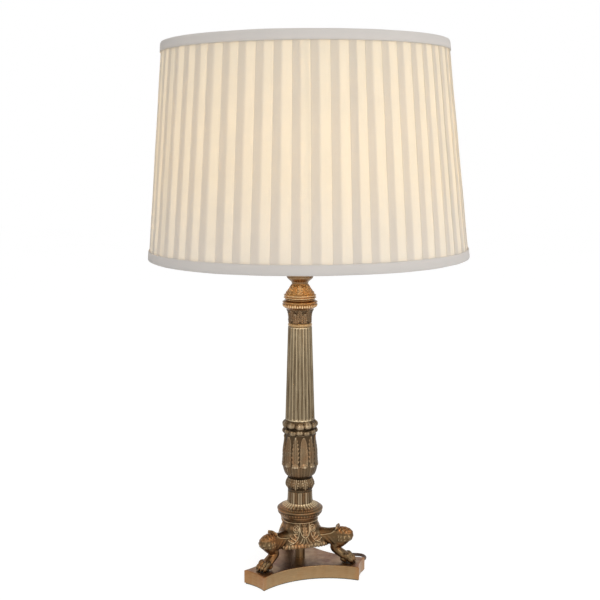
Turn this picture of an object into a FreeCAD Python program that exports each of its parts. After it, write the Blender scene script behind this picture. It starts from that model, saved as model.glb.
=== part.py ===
import FreeCAD, Part
import math
import os

# Candlestick table lamp: a triform plinth on a felt pad, three paw legs, a turned column threaded on one
# central tube, a lampholder with a bulb, and a pleated drum shade on a wire frame.
# Units are millimetres. The origin is where the column's axis meets the table; +Z is up and the front is -Y.

# ---- plinth and foot -------------------------------------------------------------------------------------
FELT_THICKNESS = 1.5
FELT_INSET = 1.5
PLINTH_HEIGHT = 17.0
PLINTH_PLATE = 6.0
PLINTH_WALL = 6.0
PLINTH_CORNER_RADIUS = 86.4
PLINTH_CORNER_HALF_ANGLE = 12.4
PLINTH_CORNER_HOLLOW = 2.5
PLINTH_SIDE_MIDDLE = 36.7
PLINTH_EDGE_ROUND = 1.0
FIRST_CORNER_ANGLE = -14.4
CORNERS = 3

# ---- legs ------------------------------------------------------------------------------------------------
KNEE_REACH = 62.0
KNEE_HEIGHT = 36.5
KNEE_HALF_WIDTH = 12.5
LEG_ROOT_REACH = 27.0
LEG_HALF_DEPTH = 10.5
ANKLE_REACH = 47.5
ANKLE_HEIGHT = 19.0
ANKLE_HALF_WIDTH = 8.0
PAW_REACH = 75.5
PAW_HEEL_REACH = 47.0
PAW_HEIGHT = 14.5
PAW_HALF_WIDTH = 10.5
TOES = 4
TOE_LENGTH = 17.0
TOE_HEIGHT = 15.0
TOE_RISE = 4.0
TOE_SETBACK = 2.5
LEG_SCREW_REACH = 61.0
LEG_SCREW_RADIUS = 2.5
LEG_SCREW_HEAD_RADIUS = 4.2
LEG_SCREW_HEAD_HEIGHT = 2.8
LEG_SCREW_GRIP = 9.0
LEG_SCREW_SLOT = 1.1
SCREW_CLEARANCE = 0.25

# ---- column: heights and widest radii from the bottom piece up ---------------------------------------------
SKIRT_BOTTOM_GAP = 22.5
SKIRT_HEIGHT = 32.5
SKIRT_TOP_RADIUS = 23.8
SKIRT_LOBE_REACH = 41.0
SKIRT_SIDE_REACH = 25.5
SKIRT_WAIST_SHARE = 0.45
SKIRT_HOLLOW = 0.96
DISH_HEIGHT = 22.5
DISH_RADIUS = 30.6
DRUM_HEIGHT = 16.4
DRUM_RADIUS = 17.0
KNOP_HEIGHT = 17.0
KNOP_RADIUS = 19.4
CALYX_HEIGHT = 60.0
CALYX_RADIUS = 24.4
COLLAR_HEIGHT = 18.6
COLLAR_RADIUS = 23.6
SHAFT_HEIGHT = 123.4
SHAFT_FOOT_RADIUS = 19.4
SHAFT_TOP_RADIUS = 15.6
FLUTES = 22
FLUTE_DEPTH = 1.2
FLUTE_MARGIN = 3.0
NECK_RING_HEIGHT = 5.0
NECK_RING_RADIUS = 15.7
CAPITAL_HEIGHT = 18.0
CAPITAL_RADIUS = 17.6
BEAD_RING_HEIGHT = 12.0
BEAD_RING_RADIUS = 23.1
BELL_HEIGHT = 21.0
BELL_RADIUS = 20.9
CUP_HEIGHT = 12.0
CUP_RADIUS = 17.7
CUP_WELL_RADIUS = 14.0
CUP_WELL_DEPTH = 5.0

# ---- central tube and its nut ------------------------------------------------------------------------------
TUBE_RADIUS = 5.0
TUBE_BORE_RADIUS = 3.6
TUBE_BELOW_NUT = 0.6
TUBE_ABOVE_CUP = 8.0
TUBE_CLEARANCE = 0.2
SLEEVE_WALL = 1.4
NUT_HEIGHT = 3.2
NUT_ACROSS_CORNERS = 16.0
WASHER_THICKNESS = 1.0
WASHER_RADIUS = 10.0

# ---- lampholder --------------------------------------------------------------------------------------------
RISER_RADIUS = 7.0
RISER_HEIGHT = 56.0
HOLDER_CAP_HEIGHT = 20.0
HOLDER_CAP_RADIUS = 19.0
HOLDER_CAP_WALL = 1.6
HOLDER_SHELL_HEIGHT = 36.0
HOLDER_SHELL_RADIUS = 19.8
HOLDER_SHELL_WALL = 1.6
INSERT_HEIGHT = 9.0
INSERT_CLEARANCE = 0.2
CONTACT_THICKNESS = 0.8
CONTACT_RADIUS = 4.0
CONTACT_SEAT = 2.0
SCREW_SHELL_RADIUS = 14.6
SCREW_SHELL_WALL = 0.6
SHADE_RING_THICKNESS = 5.0
SHADE_RING_RADIUS = 27.0
SHADE_RING_BELOW = 14.0
SWITCH_ROD_RADIUS = 2.2
SWITCH_ROD_LENGTH = 56.0
SWITCH_ROD_OFFSET = 12.0
SWITCH_TRAVEL = 6.0
SWITCH_KNOB_RADIUS = 3.6
SWITCH_KNOB_LENGTH = 7.0
RUNNING_CLEARANCE = 0.06

# ---- bulb --------------------------------------------------------------------------------------------------
BULB_CAP_RADIUS = 13.2
BULB_CAP_LENGTH = 24.0
BULB_RADIUS = 30.0
BULB_LENGTH = 81.0
BULB_GLASS = 0.8
BULB_NECK_RADIUS = 12.4
BULB_SHOULDER_OUT = 3.0
BULB_SHOULDER_UP = 14.0
BULB_MEETING_ANGLE = 28.0
BULB_CONTACT_LENGTH = 3.0
STEM_LENGTH = 34.0
STEM_RADIUS = 4.5
FILAMENT_SPAN = 26.0
FILAMENT_RADIUS = 0.6

# ---- shade -------------------------------------------------------------------------------------------------
SHADE_BOTTOM_LEVEL = 421.9
SHADE_HEIGHT = 268.7
SHADE_BOTTOM_RADIUS = 203.9
SHADE_TOP_RADIUS = 178.7
SHADE_BOTTOM_SHIFT = 11.1
SHADE_TOP_SHIFT = 6.3
SHADE_TILT = 0.43
PLEATS = 55
PLEAT_DEPTH = 1.1
PLEAT_CREST = 0.45
PLEAT_DROP = 0.55
COVER_THICKNESS = 0.8
LINING_THICKNESS = 0.5
FABRIC_CLEARANCE = 0.2
TRIM_WIDTH = 12.4
TRIM_THICKNESS = 0.6
TRIM_CLEARANCE = 0.1
WIRE_RADIUS = 1.75
RIBS = 6
SPIDER_ARMS = 3
FIRST_ARM_ANGLE = 90.0
SPIDER_WIRE_RADIUS = 2.2
SPIDER_ARM_FLAT = 44.0
HUB_THICKNESS = 1.5
HUB_BORE_RADIUS = 21.0
HUB_RADIUS = 30.0

# ---- flex and plug -----------------------------------------------------------------------------------------
CORD_RADIUS = 2.2
CORD_EXIT_HEIGHT = 5.5
CORD_EXIT_ANGLE = 25.0
INNER_BEND_RADIUS = 5.0
GROMMET_RADIUS = 3.6
GROMMET_PROUD = 2.6
RELIEF_LENGTH = 18.0
STRAIGHT_OUT = 8.5
COIL_START = (38.0, 123.0)
COIL_LIFT = 0.9
COIL_OUTER_RADIUS = 34.0
COIL_TURNS_PER_LAYER = 5
COIL_GAP = 0.55
TIE_THICKNESS = 0.5
TIE_WIDTH = 6.0
TIE_CLEARANCE = 0.2
TIE_INNER_CLEARANCE = 0.9
PLUG_LENGTH = 30.0
PLUG_WIDTH = 14.0
PLUG_HEIGHT = 13.0
PLUG_ROUND = 3.0
PLUG_CLEARANCE = 0.3
PIN_RADIUS = 2.0
PIN_LENGTH = 19.0
PIN_SPACING = 8.0

# ---- levels that follow from the sizes above -----------------------------------------------------------------
PLINTH_TOP = FELT_THICKNESS + PLINTH_HEIGHT
CAVITY_TOP = PLINTH_TOP - PLINTH_PLATE
SKIRT_BOTTOM = PLINTH_TOP + SKIRT_BOTTOM_GAP
DISH_BOTTOM = SKIRT_BOTTOM + SKIRT_HEIGHT
DRUM_BOTTOM = DISH_BOTTOM + DISH_HEIGHT
KNOP_BOTTOM = DRUM_BOTTOM + DRUM_HEIGHT
CALYX_BOTTOM = KNOP_BOTTOM + KNOP_HEIGHT
COLLAR_BOTTOM = CALYX_BOTTOM + CALYX_HEIGHT
SHAFT_BOTTOM = COLLAR_BOTTOM + COLLAR_HEIGHT
NECK_RING_BOTTOM = SHAFT_BOTTOM + SHAFT_HEIGHT
CAPITAL_BOTTOM = NECK_RING_BOTTOM + NECK_RING_HEIGHT
BEAD_RING_BOTTOM = CAPITAL_BOTTOM + CAPITAL_HEIGHT
BELL_BOTTOM = BEAD_RING_BOTTOM + BEAD_RING_HEIGHT
CUP_BOTTOM = BELL_BOTTOM + BELL_HEIGHT
CUP_TOP = CUP_BOTTOM + CUP_HEIGHT
CUP_FLOOR = CUP_TOP - CUP_WELL_DEPTH
RISER_TOP = CUP_FLOOR + RISER_HEIGHT
HOLDER_CAP_TOP = RISER_TOP + HOLDER_CAP_HEIGHT
HOLDER_TOP = HOLDER_CAP_TOP + HOLDER_SHELL_HEIGHT
HUB_BOTTOM = HOLDER_TOP - SHADE_RING_BELOW
INSERT_TOP = HOLDER_CAP_TOP + INSERT_HEIGHT
BULB_CAP_BOTTOM = INSERT_TOP + CONTACT_THICKNESS
BULB_CAP_TOP = BULB_CAP_BOTTOM + BULB_CAP_LENGTH
COLUMN_BORE_RADIUS = TUBE_RADIUS + TUBE_CLEARANCE
COIL_PITCH = 2 * CORD_RADIUS + COIL_GAP
COIL_LOW = CORD_RADIUS + COIL_LIFT
COIL_HIGH = COIL_LOW + COIL_PITCH

AXIS = FreeCAD.Vector(0, 0, 1)
ORIGIN = FreeCAD.Vector(0, 0, 0)


def polar(radius, degrees, level=0.0):
    """A point at an angle counted from +X towards +Y."""
    angle = math.radians(degrees)
    return FreeCAD.Vector(radius * math.cos(angle), radius * math.sin(angle), level)


def rod(radius, bottom, top):
    return Part.makeCylinder(radius, top - bottom, FreeCAD.Vector(0, 0, bottom), AXIS)


def tube(outer, inner, bottom, top):
    return rod(outer, bottom, top).cut(rod(inner, bottom, top))


def smooth_profile_face(points, bore, bottom, top):
    """A face in the XZ plane between the bore and a smooth outline that runs through (radius, level) points."""
    outline = [FreeCAD.Vector(radius, 0, level) for radius, level in points]
    curve = Part.BSplineCurve()
    curve.interpolate(outline)
    foot = FreeCAD.Vector(bore, 0, bottom)
    head = FreeCAD.Vector(bore, 0, top)
    edges = [
        Part.makeLine(foot, outline[0]),
        curve.toShape(),
        Part.makeLine(outline[-1], head),
        Part.makeLine(head, foot),
    ]
    return Part.Face(Part.Wire(edges))


def turned(bottom, height, radius, outline, bore=COLUMN_BORE_RADIUS):
    """A turned piece: outline gives (share of the height, share of the widest radius), from foot to head."""
    points = [(radius * across, bottom + height * up) for up, across in outline]
    face = smooth_profile_face(points, bore, bottom, bottom + height)
    return face.revolve(ORIGIN, AXIS, 360)


def save(name, shape):
    if not shape.isValid():
        print("not valid:", name)
    shape.exportStep("parts/" + name + ".step")
    print(name, len(shape.Solids), round(shape.Volume))


def corner_angles():
    return [FIRST_CORNER_ANGLE + 360.0 / CORNERS * number for number in range(CORNERS)]


# ---- plinth --------------------------------------------------------------------------------------------------
def plinth_wire(inset, level):
    """Three slightly hollow corner faces joined by three deep concave sides, drawn in by inset."""
    edges = []
    half = PLINTH_CORNER_HALF_ANGLE
    step = 360.0 / CORNERS
    corner = PLINTH_CORNER_RADIUS - inset
    spread = math.degrees(math.asin((PLINTH_CORNER_RADIUS * math.sin(math.radians(half)) - inset) / corner))
    chord = corner * math.cos(math.radians(spread))
    for angle in corner_angles():
        start = polar(corner, angle - spread, level)
        middle = polar(chord - PLINTH_CORNER_HOLLOW, angle, level)
        end = polar(corner, angle + spread, level)
        edges.append(Part.Arc(start, middle, end).toShape())
        side = polar(PLINTH_SIDE_MIDDLE - inset, angle + step / 2, level)
        following = polar(corner, angle + step - spread, level)
        edges.append(Part.Arc(end, side, following).toShape())
    return Part.Wire(edges)


def plinth_prism(inset, bottom, top):
    return Part.Face(plinth_wire(inset, bottom)).extrude(FreeCAD.Vector(0, 0, top - bottom))


def exit_direction():
    """Level direction in which the flex leaves through the back right side of the plinth."""
    return polar(1.0, CORD_EXIT_ANGLE)


def side_distance():
    """Distance from the axis to the plinth's back right side, along the flex's way out."""
    middle_angle = FIRST_CORNER_ANGLE + 180.0 / CORNERS
    middle = polar(PLINTH_SIDE_MIDDLE, middle_angle)
    corner = polar(PLINTH_CORNER_RADIUS, FIRST_CORNER_ANGLE + PLINTH_CORNER_HALF_ANGLE)
    half_chord = abs((corner - middle).dot(polar(1.0, middle_angle + 90)))
    depth = (corner - middle).dot(polar(1.0, middle_angle))
    radius = (half_chord ** 2 + depth ** 2) / (2 * depth)
    centre = PLINTH_SIDE_MIDDLE + radius
    between = math.radians(middle_angle - CORD_EXIT_ANGLE)
    return centre * math.cos(between) - math.sqrt(radius ** 2 - (centre * math.sin(between)) ** 2)


def make_plinth():
    body = plinth_prism(0.0, FELT_THICKNESS, PLINTH_TOP)
    rims = [edge for edge in body.Edges if all(abs(v.Z - PLINTH_TOP) < 1e-6 for v in edge.Vertexes)]
    body = body.makeFillet(PLINTH_EDGE_ROUND, rims)
    body = body.cut(plinth_prism(PLINTH_WALL, FELT_THICKNESS, CAVITY_TOP))
    body = body.cut(rod(COLUMN_BORE_RADIUS, CAVITY_TOP, PLINTH_TOP))
    for angle in corner_angles():
        hole = rod(LEG_SCREW_RADIUS + SCREW_CLEARANCE, CAVITY_TOP, PLINTH_TOP)
        body = body.cut(hole.translated(polar(LEG_SCREW_REACH, angle)))
    start = exit_direction() * (side_distance() - 2 * PLINTH_WALL)
    start.z = CORD_EXIT_HEIGHT
    port = Part.makeCylinder(GROMMET_RADIUS, 3 * PLINTH_WALL, start, exit_direction())
    return body.cut(port)


def make_grommet():
    """Bushing in the plinth's wall with a tapered sleeve round the flex outside."""
    direction = exit_direction()
    outside = direction * (side_distance() + GROMMET_PROUD)
    outside.z = CORD_EXIT_HEIGHT
    shank_length = PLINTH_WALL + GROMMET_PROUD
    inside = outside - direction * shank_length
    shank = Part.makeCylinder(GROMMET_RADIUS, shank_length, inside, direction)
    sleeve = Part.makeCone(GROMMET_RADIUS, CORD_RADIUS + 0.5, RELIEF_LENGTH, outside, direction)
    total = shank_length + RELIEF_LENGTH
    hole = Part.makeCylinder(CORD_RADIUS, total, inside, direction)
    return shank.fuse(sleeve).removeSplitter().cut(hole)


# ---- legs ----------------------------------------------------------------------------------------------------
def oval_section(reach, level, slope, half_depth, half_width):
    """An oval across the leg's path: slope is the path's angle above level, looking outwards."""
    centre = FreeCAD.Vector(reach, 0, level)
    along = FreeCAD.Vector(math.cos(math.radians(slope)), 0, math.sin(math.radians(slope)))
    across = FreeCAD.Vector(0, 1, 0)
    depth_side = along.cross(across)
    if half_depth >= half_width:
        major = centre + depth_side * half_depth
        minor = centre + across * half_width
    else:
        major = centre + across * half_width
        minor = centre + depth_side * half_depth
    return Part.Wire([Part.Ellipse(major, minor, centre).toShape()])


def make_leg():
    """One scrolled leg along +X: out of the skirt, over the knee, in at the ankle and out to a paw."""
    ground = PLINTH_TOP
    knee = ground + KNEE_HEIGHT
    ankle = ground + ANKLE_HEIGHT
    depth = LEG_HALF_DEPTH
    sections = [
        oval_section(LEG_ROOT_REACH, knee - 1.0, 20, depth, KNEE_HALF_WIDTH + 0.5),
        oval_section((LEG_ROOT_REACH + KNEE_REACH) / 2, knee + 3.0, 5, depth - 1.0, KNEE_HALF_WIDTH),
        oval_section(KNEE_REACH - 4.0, knee + 1.5, -30, depth - 0.5, KNEE_HALF_WIDTH),
        oval_section(KNEE_REACH, knee - 7.0, -80, depth, KNEE_HALF_WIDTH - 1.5),
        oval_section((KNEE_REACH + ANKLE_REACH) / 2, ankle + 5.0, -115, depth, ANKLE_HALF_WIDTH + 1.0),
        oval_section(ANKLE_REACH + 1.0, ankle - 2.0, -95, depth, ANKLE_HALF_WIDTH),
        oval_section(ANKLE_REACH + 4.5, ground + PAW_HEIGHT / 2, -70, depth - 0.5, ANKLE_HALF_WIDTH + 1.0),
    ]
    leg = Part.makeLoft(sections, True, False)
    heel = ellipsoid(PAW_REACH - PAW_HEEL_REACH, 2 * PAW_HALF_WIDTH, 2 * PAW_HEIGHT)
    leg = leg.fuse(heel.translated(FreeCAD.Vector((PAW_REACH + PAW_HEEL_REACH) / 2 - 3.0, 0, ground + 1.0)))
    toe_width = 2 * PAW_HALF_WIDTH / TOES
    for number in range(TOES):
        side = (number - (TOES - 1) / 2) * toe_width
        setback = TOE_SETBACK * abs(side) / PAW_HALF_WIDTH
        toe = ellipsoid(TOE_LENGTH, toe_width * 1.1, TOE_HEIGHT)
        toe_reach = PAW_REACH - TOE_LENGTH / 2 - setback
        leg = leg.fuse(toe.translated(FreeCAD.Vector(toe_reach, side, ground + TOE_RISE)))
    block = 2 * PAW_REACH
    under = Part.makeBox(block, block, block, FreeCAD.Vector(0, -block / 2, ground - block))
    return leg.cut(under).removeSplitter()


def ellipsoid(length, width, height):
    ball = Part.makeSphere(1.0)
    grow = FreeCAD.Matrix()
    grow.scale(FreeCAD.Vector(length / 2, width / 2, height / 2))
    return ball.transformGeometry(grow)


def leg_tap_hole():
    hole = rod(LEG_SCREW_RADIUS, PLINTH_TOP, PLINTH_TOP + LEG_SCREW_GRIP + 1.0)
    return hole.translated(FreeCAD.Vector(LEG_SCREW_REACH, 0, 0))


def make_leg_screw():
    head = rod(LEG_SCREW_HEAD_RADIUS, CAVITY_TOP - LEG_SCREW_HEAD_HEIGHT, CAVITY_TOP)
    shank = rod(LEG_SCREW_RADIUS, CAVITY_TOP, PLINTH_TOP + LEG_SCREW_GRIP)
    across = 2 * LEG_SCREW_HEAD_RADIUS
    slot = Part.makeBox(across, LEG_SCREW_SLOT, LEG_SCREW_SLOT)
    slot.translate(FreeCAD.Vector(-across / 2, -LEG_SCREW_SLOT / 2, CAVITY_TOP - LEG_SCREW_HEAD_HEIGHT))
    return head.fuse(shank).removeSplitter().cut(slot).translated(FreeCAD.Vector(LEG_SCREW_REACH, 0, 0))


# ---- column --------------------------------------------------------------------------------------------------
def lobed_wire(lobe, side, level):
    """A closed smooth wire that reaches lobe towards each leg and side between the legs."""
    points = []
    between = (lobe + side) / 2 * SKIRT_HOLLOW
    for angle in corner_angles():
        points.append(polar(lobe, angle, level))
        points.append(polar(between, angle + 90.0 / CORNERS, level))
        points.append(polar(side, angle + 180.0 / CORNERS, level))
        points.append(polar(between, angle + 270.0 / CORNERS, level))
    curve = Part.BSplineCurve()
    curve.interpolate(points, True)
    return Part.Wire([curve.toShape()])


def make_skirt():
    """The incurved three-sided body from which the legs spring."""
    top = SKIRT_BOTTOM + SKIRT_HEIGHT
    middle = SKIRT_BOTTOM + SKIRT_WAIST_SHARE * SKIRT_HEIGHT
    waist = (SKIRT_LOBE_REACH + SKIRT_TOP_RADIUS) / 2
    wires = [
        lobed_wire(SKIRT_LOBE_REACH, SKIRT_SIDE_REACH, SKIRT_BOTTOM),
        lobed_wire(waist, SKIRT_SIDE_REACH - 2.0, middle),
        lobed_wire(SKIRT_TOP_RADIUS, SKIRT_TOP_RADIUS, top),
    ]
    body = Part.makeLoft(wires, True, False)
    body = body.cut(rod(COLUMN_BORE_RADIUS, SKIRT_BOTTOM, top))
    return body


DISH_OUTLINE = [(0, 0.784), (0.09, 0.778), (0.18, 0.781), (0.25, 0.8), (0.3, 0.855), (0.36, 0.915), (0.43, 0.958),
                (0.52, 0.992), (0.58, 1.0), (0.69, 0.945), (0.82, 0.823), (0.936, 0.63), (1, 0.585)]
DRUM_OUTLINE = [(0, 1.0), (0.2, 0.985), (0.45, 0.955), (0.8, 0.945), (1, 0.95)]
KNOP_OUTLINE = [(0, 0.835), (0.08, 0.885), (0.16, 0.96), (0.33, 1.0), (0.5, 0.975), (0.72, 0.905),
                (0.9, 0.83), (1, 0.805)]
CALYX_OUTLINE = [(0, 0.64), (0.04, 0.72), (0.1, 0.83), (0.18, 0.91), (0.26, 0.965), (0.33, 1.0), (0.4, 0.965),
                 (0.6, 0.955), (0.72, 0.91), (0.86, 0.875), (1, 0.87)]
COLLAR_OUTLINE = [(0, 0.91), (0.1, 0.97), (0.24, 1.0), (0.36, 0.955), (0.42, 0.957), (0.52, 0.985),
                  (0.68, 0.98), (0.8, 0.94), (0.92, 0.865), (1, 0.83)]
CAPITAL_OUTLINE = [(0, 0.865), (0.25, 0.845), (0.55, 0.872), (0.8, 0.922), (1, 1.0)]
BEAD_RING_OUTLINE = [(0, 0.76), (0.1, 0.84), (0.22, 0.93), (0.36, 0.985), (0.5, 1.0), (0.66, 0.98),
                     (0.8, 0.92), (1, 0.85)]
BELL_OUTLINE = [(0, 0.945), (0.06, 0.985), (0.15, 1.0), (0.26, 0.975), (0.36, 0.93), (0.48, 0.84),
                (0.6, 0.735), (0.8, 0.605), (0.93, 0.525), (1, 0.5)]
CUP_OUTLINE = [(0, 0.59), (0.1, 0.615), (0.3, 0.73), (0.45, 0.84), (0.62, 0.94), (0.75, 0.985), (1, 1.0)]


def make_shaft():
    """Tapered shaft with round flutes that stop short of both ends."""
    top = SHAFT_BOTTOM + SHAFT_HEIGHT
    shaft = Part.makeCone(SHAFT_FOOT_RADIUS, SHAFT_TOP_RADIUS, SHAFT_HEIGHT, FreeCAD.Vector(0, 0, SHAFT_BOTTOM))
    low = SHAFT_BOTTOM + FLUTE_MARGIN
    high = top - FLUTE_MARGIN
    taper = (SHAFT_FOOT_RADIUS - SHAFT_TOP_RADIUS) / SHAFT_HEIGHT
    cutter_radius = 0.45 * math.pi * SHAFT_TOP_RADIUS / FLUTES + FLUTE_DEPTH / 2
    cutters = []
    for number in range(FLUTES):
        angle = 360.0 * number / FLUTES
        low_radius = SHAFT_FOOT_RADIUS - taper * FLUTE_MARGIN + cutter_radius - FLUTE_DEPTH
        high_radius = SHAFT_TOP_RADIUS + taper * FLUTE_MARGIN + cutter_radius - FLUTE_DEPTH
        foot = polar(low_radius, angle, low)
        head = polar(high_radius, angle, high)
        groove = Part.makeCylinder(cutter_radius, foot.distanceToPoint(head), foot, head - foot)
        cutters.append(groove.fuse([Part.makeSphere(cutter_radius, foot), Part.makeSphere(cutter_radius, head)]))
    shaft = shaft.cut(cutters)
    return shaft.cut(rod(COLUMN_BORE_RADIUS, SHAFT_BOTTOM, top))


def make_neck_ring():
    bead = NECK_RING_HEIGHT / 2
    face_points = [(NECK_RING_RADIUS - bead * 0.5, NECK_RING_BOTTOM),
                   (NECK_RING_RADIUS, NECK_RING_BOTTOM + bead),
                   (NECK_RING_RADIUS - bead * 0.5, NECK_RING_BOTTOM + NECK_RING_HEIGHT)]
    face = smooth_profile_face(face_points, COLUMN_BORE_RADIUS, NECK_RING_BOTTOM,
                               NECK_RING_BOTTOM + NECK_RING_HEIGHT)
    return face.revolve(ORIGIN, AXIS, 360)


def make_cup():
    cup = turned(CUP_BOTTOM, CUP_HEIGHT, CUP_RADIUS, CUP_OUTLINE)
    return cup.cut(rod(CUP_WELL_RADIUS, CUP_FLOOR, CUP_TOP))


def hexagon(across_corners, bottom, top):
    points = [polar(across_corners / 2, 60.0 * number, bottom) for number in range(7)]
    return Part.Face(Part.makePolygon(points)).extrude(FreeCAD.Vector(0, 0, top - bottom))


# ---- lampholder ----------------------------------------------------------------------------------------------
NUT_TOP = CAVITY_TOP - WASHER_THICKNESS
NUT_BOTTOM = NUT_TOP - NUT_HEIGHT
TUBE_BOTTOM = NUT_BOTTOM + TUBE_BELOW_NUT
TUBE_TOP = CUP_TOP + TUBE_ABOVE_CUP


SWITCH_LEVEL = RISER_TOP + HOLDER_CAP_HEIGHT / 2


def switch_rod_line(radius, half_length, middle):
    start = FreeCAD.Vector(middle - half_length, SWITCH_ROD_OFFSET, SWITCH_LEVEL)
    return Part.makeCylinder(radius, 2 * half_length, start, FreeCAD.Vector(1, 0, 0))


def make_holder_cap():
    cap = rod(HOLDER_CAP_RADIUS, RISER_TOP, HOLDER_CAP_TOP)
    inner = HOLDER_CAP_RADIUS - HOLDER_CAP_WALL
    cap = cap.cut(rod(inner, RISER_TOP + HOLDER_CAP_WALL, HOLDER_CAP_TOP))
    cap = cap.cut(rod(TUBE_BORE_RADIUS, RISER_TOP, RISER_TOP + HOLDER_CAP_WALL))
    return cap.cut(switch_rod_line(SWITCH_ROD_RADIUS + RUNNING_CLEARANCE, HOLDER_CAP_RADIUS, 0.0))


def make_switch_bar():
    """The bar rests pushed over to +X by half its travel."""
    middle = SWITCH_TRAVEL / 2
    bar = switch_rod_line(SWITCH_ROD_RADIUS, SWITCH_ROD_LENGTH / 2, middle)
    for side in (-1, 1):
        knob_end = FreeCAD.Vector(middle + side * SWITCH_ROD_LENGTH / 2, SWITCH_ROD_OFFSET, SWITCH_LEVEL)
        direction = FreeCAD.Vector(-side, 0, 0)
        bar = bar.fuse(Part.makeCylinder(SWITCH_KNOB_RADIUS, SWITCH_KNOB_LENGTH, knob_end, direction))
    return bar.removeSplitter()


def make_insert():
    """Ceramic insert with the hole for the flex and the seat of the centre contact."""
    radius = HOLDER_SHELL_RADIUS - HOLDER_SHELL_WALL - INSERT_CLEARANCE
    block = rod(radius, HOLDER_CAP_TOP, INSERT_TOP)
    return block.cut(rod(CORD_RADIUS + SCREW_CLEARANCE, HOLDER_CAP_TOP, INSERT_TOP - CONTACT_SEAT))


# ---- shade ---------------------------------------------------------------------------------------------------
def shade_frame(share):
    """Centre and level direction of the shade at a share of its height: it stands off centre and leans."""
    shift = SHADE_BOTTOM_SHIFT + (SHADE_TOP_SHIFT - SHADE_BOTTOM_SHIFT) * share
    return FreeCAD.Vector(shift, 0, SHADE_BOTTOM_LEVEL + SHADE_HEIGHT * share)


def shade_point(share, radius, degrees):
    tilt = math.radians(SHADE_TILT)
    flat = polar(radius, degrees)
    return shade_frame(share) + FreeCAD.Vector(flat.x * math.cos(tilt), flat.y, flat.x * math.sin(tilt))


def shade_normal():
    tilt = math.radians(SHADE_TILT)
    return FreeCAD.Vector(-math.sin(tilt), 0, math.cos(tilt))


def shade_radius(share):
    return SHADE_BOTTOM_RADIUS + (SHADE_TOP_RADIUS - SHADE_BOTTOM_RADIUS) * share


def shade_circle(share, inset):
    circle = Part.Circle(shade_frame(share), shade_normal(), shade_radius(share) - inset)
    return Part.Wire([circle.toShape()])


def shade_frustum(low, high, inset):
    return Part.makeLoft([shade_circle(low, inset), shade_circle(high, inset)], True, True)


def shade_band(low, high, outer_inset, inner_inset):
    return shade_frustum(low, high, outer_inset).cut(shade_frustum(low, high, inner_inset))


def pleated_points(share, inset):
    """Knife pleats: each rises slowly and drops back sharply. Their depth shrinks with the shade's radius."""
    points = []
    scale = shade_radius(share) / SHADE_BOTTOM_RADIUS
    crest = (SHADE_BOTTOM_RADIUS - inset) * scale
    valley = (SHADE_BOTTOM_RADIUS - inset - PLEAT_DEPTH) * scale
    pitch = 360.0 / PLEATS
    for number in range(PLEATS):
        points.append(shade_point(share, valley, number * pitch))
        points.append(shade_point(share, crest, (number + PLEAT_CREST) * pitch))
        points.append(shade_point(share, (crest + valley) / 2, (number + PLEAT_DROP) * pitch))
    return points


def flat_face(points):
    return Part.Face(Part.makePolygon(points + points[:1]))


def pleated_block(inset):
    """A solid with flat sides between the pleated outlines at the shade's foot and head."""
    foot = pleated_points(0.0, inset)
    head = pleated_points(1.0, inset)
    faces = [flat_face(foot), flat_face(head)]
    for number in range(len(foot)):
        following = (number + 1) % len(foot)
        faces.append(flat_face([foot[number], foot[following], head[following], head[number]]))
    return Part.Solid(Part.Shell(faces))


COVER_INSET = TRIM_CLEARANCE
COVER_INNER_INSET = COVER_INSET + PLEAT_DEPTH + COVER_THICKNESS
LINING_INSET = COVER_INNER_INSET + FABRIC_CLEARANCE
LINING_INNER_INSET = LINING_INSET + LINING_THICKNESS
WIRE_INSET = LINING_INNER_INSET + WIRE_RADIUS + FABRIC_CLEARANCE
TRIM_SHARE = TRIM_WIDTH / SHADE_HEIGHT
RING_SHARE = (WIRE_RADIUS + 1.0) / SHADE_HEIGHT


def make_cover():
    return pleated_block(COVER_INSET).cut(pleated_block(COVER_INSET + COVER_THICKNESS))


def make_ring_wire(share):
    radius = shade_radius(share) - WIRE_INSET
    return Part.makeTorus(radius, WIRE_RADIUS, shade_frame(share), shade_normal())


def make_ribs():
    """Upright wires between the two rings of the frame."""
    ribs = []
    for number in range(RIBS):
        angle = FIRST_ARM_ANGLE + 360.0 / RIBS * number
        foot = shade_point(RING_SHARE, shade_radius(RING_SHARE) - WIRE_INSET, angle)
        head = shade_point(1 - RING_SHARE, shade_radius(1 - RING_SHARE) - WIRE_INSET, angle)
        ribs.append(Part.makeCylinder(WIRE_RADIUS * 0.8, foot.distanceToPoint(head), foot, head - foot))
    return Part.makeCompound(ribs)


def make_spider_arms():
    """Wires that run level from the hub, then slope down to the bottom ring."""
    arms = []
    level = HUB_BOTTOM + HUB_THICKNESS / 2
    for number in range(SPIDER_ARMS):
        angle = FIRST_ARM_ANGLE + 360.0 / SPIDER_ARMS * number
        start = polar(HUB_RADIUS - 2.0, angle, level)
        bend = polar(SPIDER_ARM_FLAT, angle, level)
        foot = shade_point(RING_SHARE, shade_radius(RING_SHARE) - WIRE_INSET, angle)
        level_run = Part.makeCylinder(SPIDER_WIRE_RADIUS, start.distanceToPoint(bend), start, bend - start)
        slope_run = Part.makeCylinder(SPIDER_WIRE_RADIUS, bend.distanceToPoint(foot), bend, foot - bend)
        arms.append(level_run.fuse([slope_run, Part.makeSphere(SPIDER_WIRE_RADIUS, bend)]).removeSplitter())
    return Part.makeCompound(arms)


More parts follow.
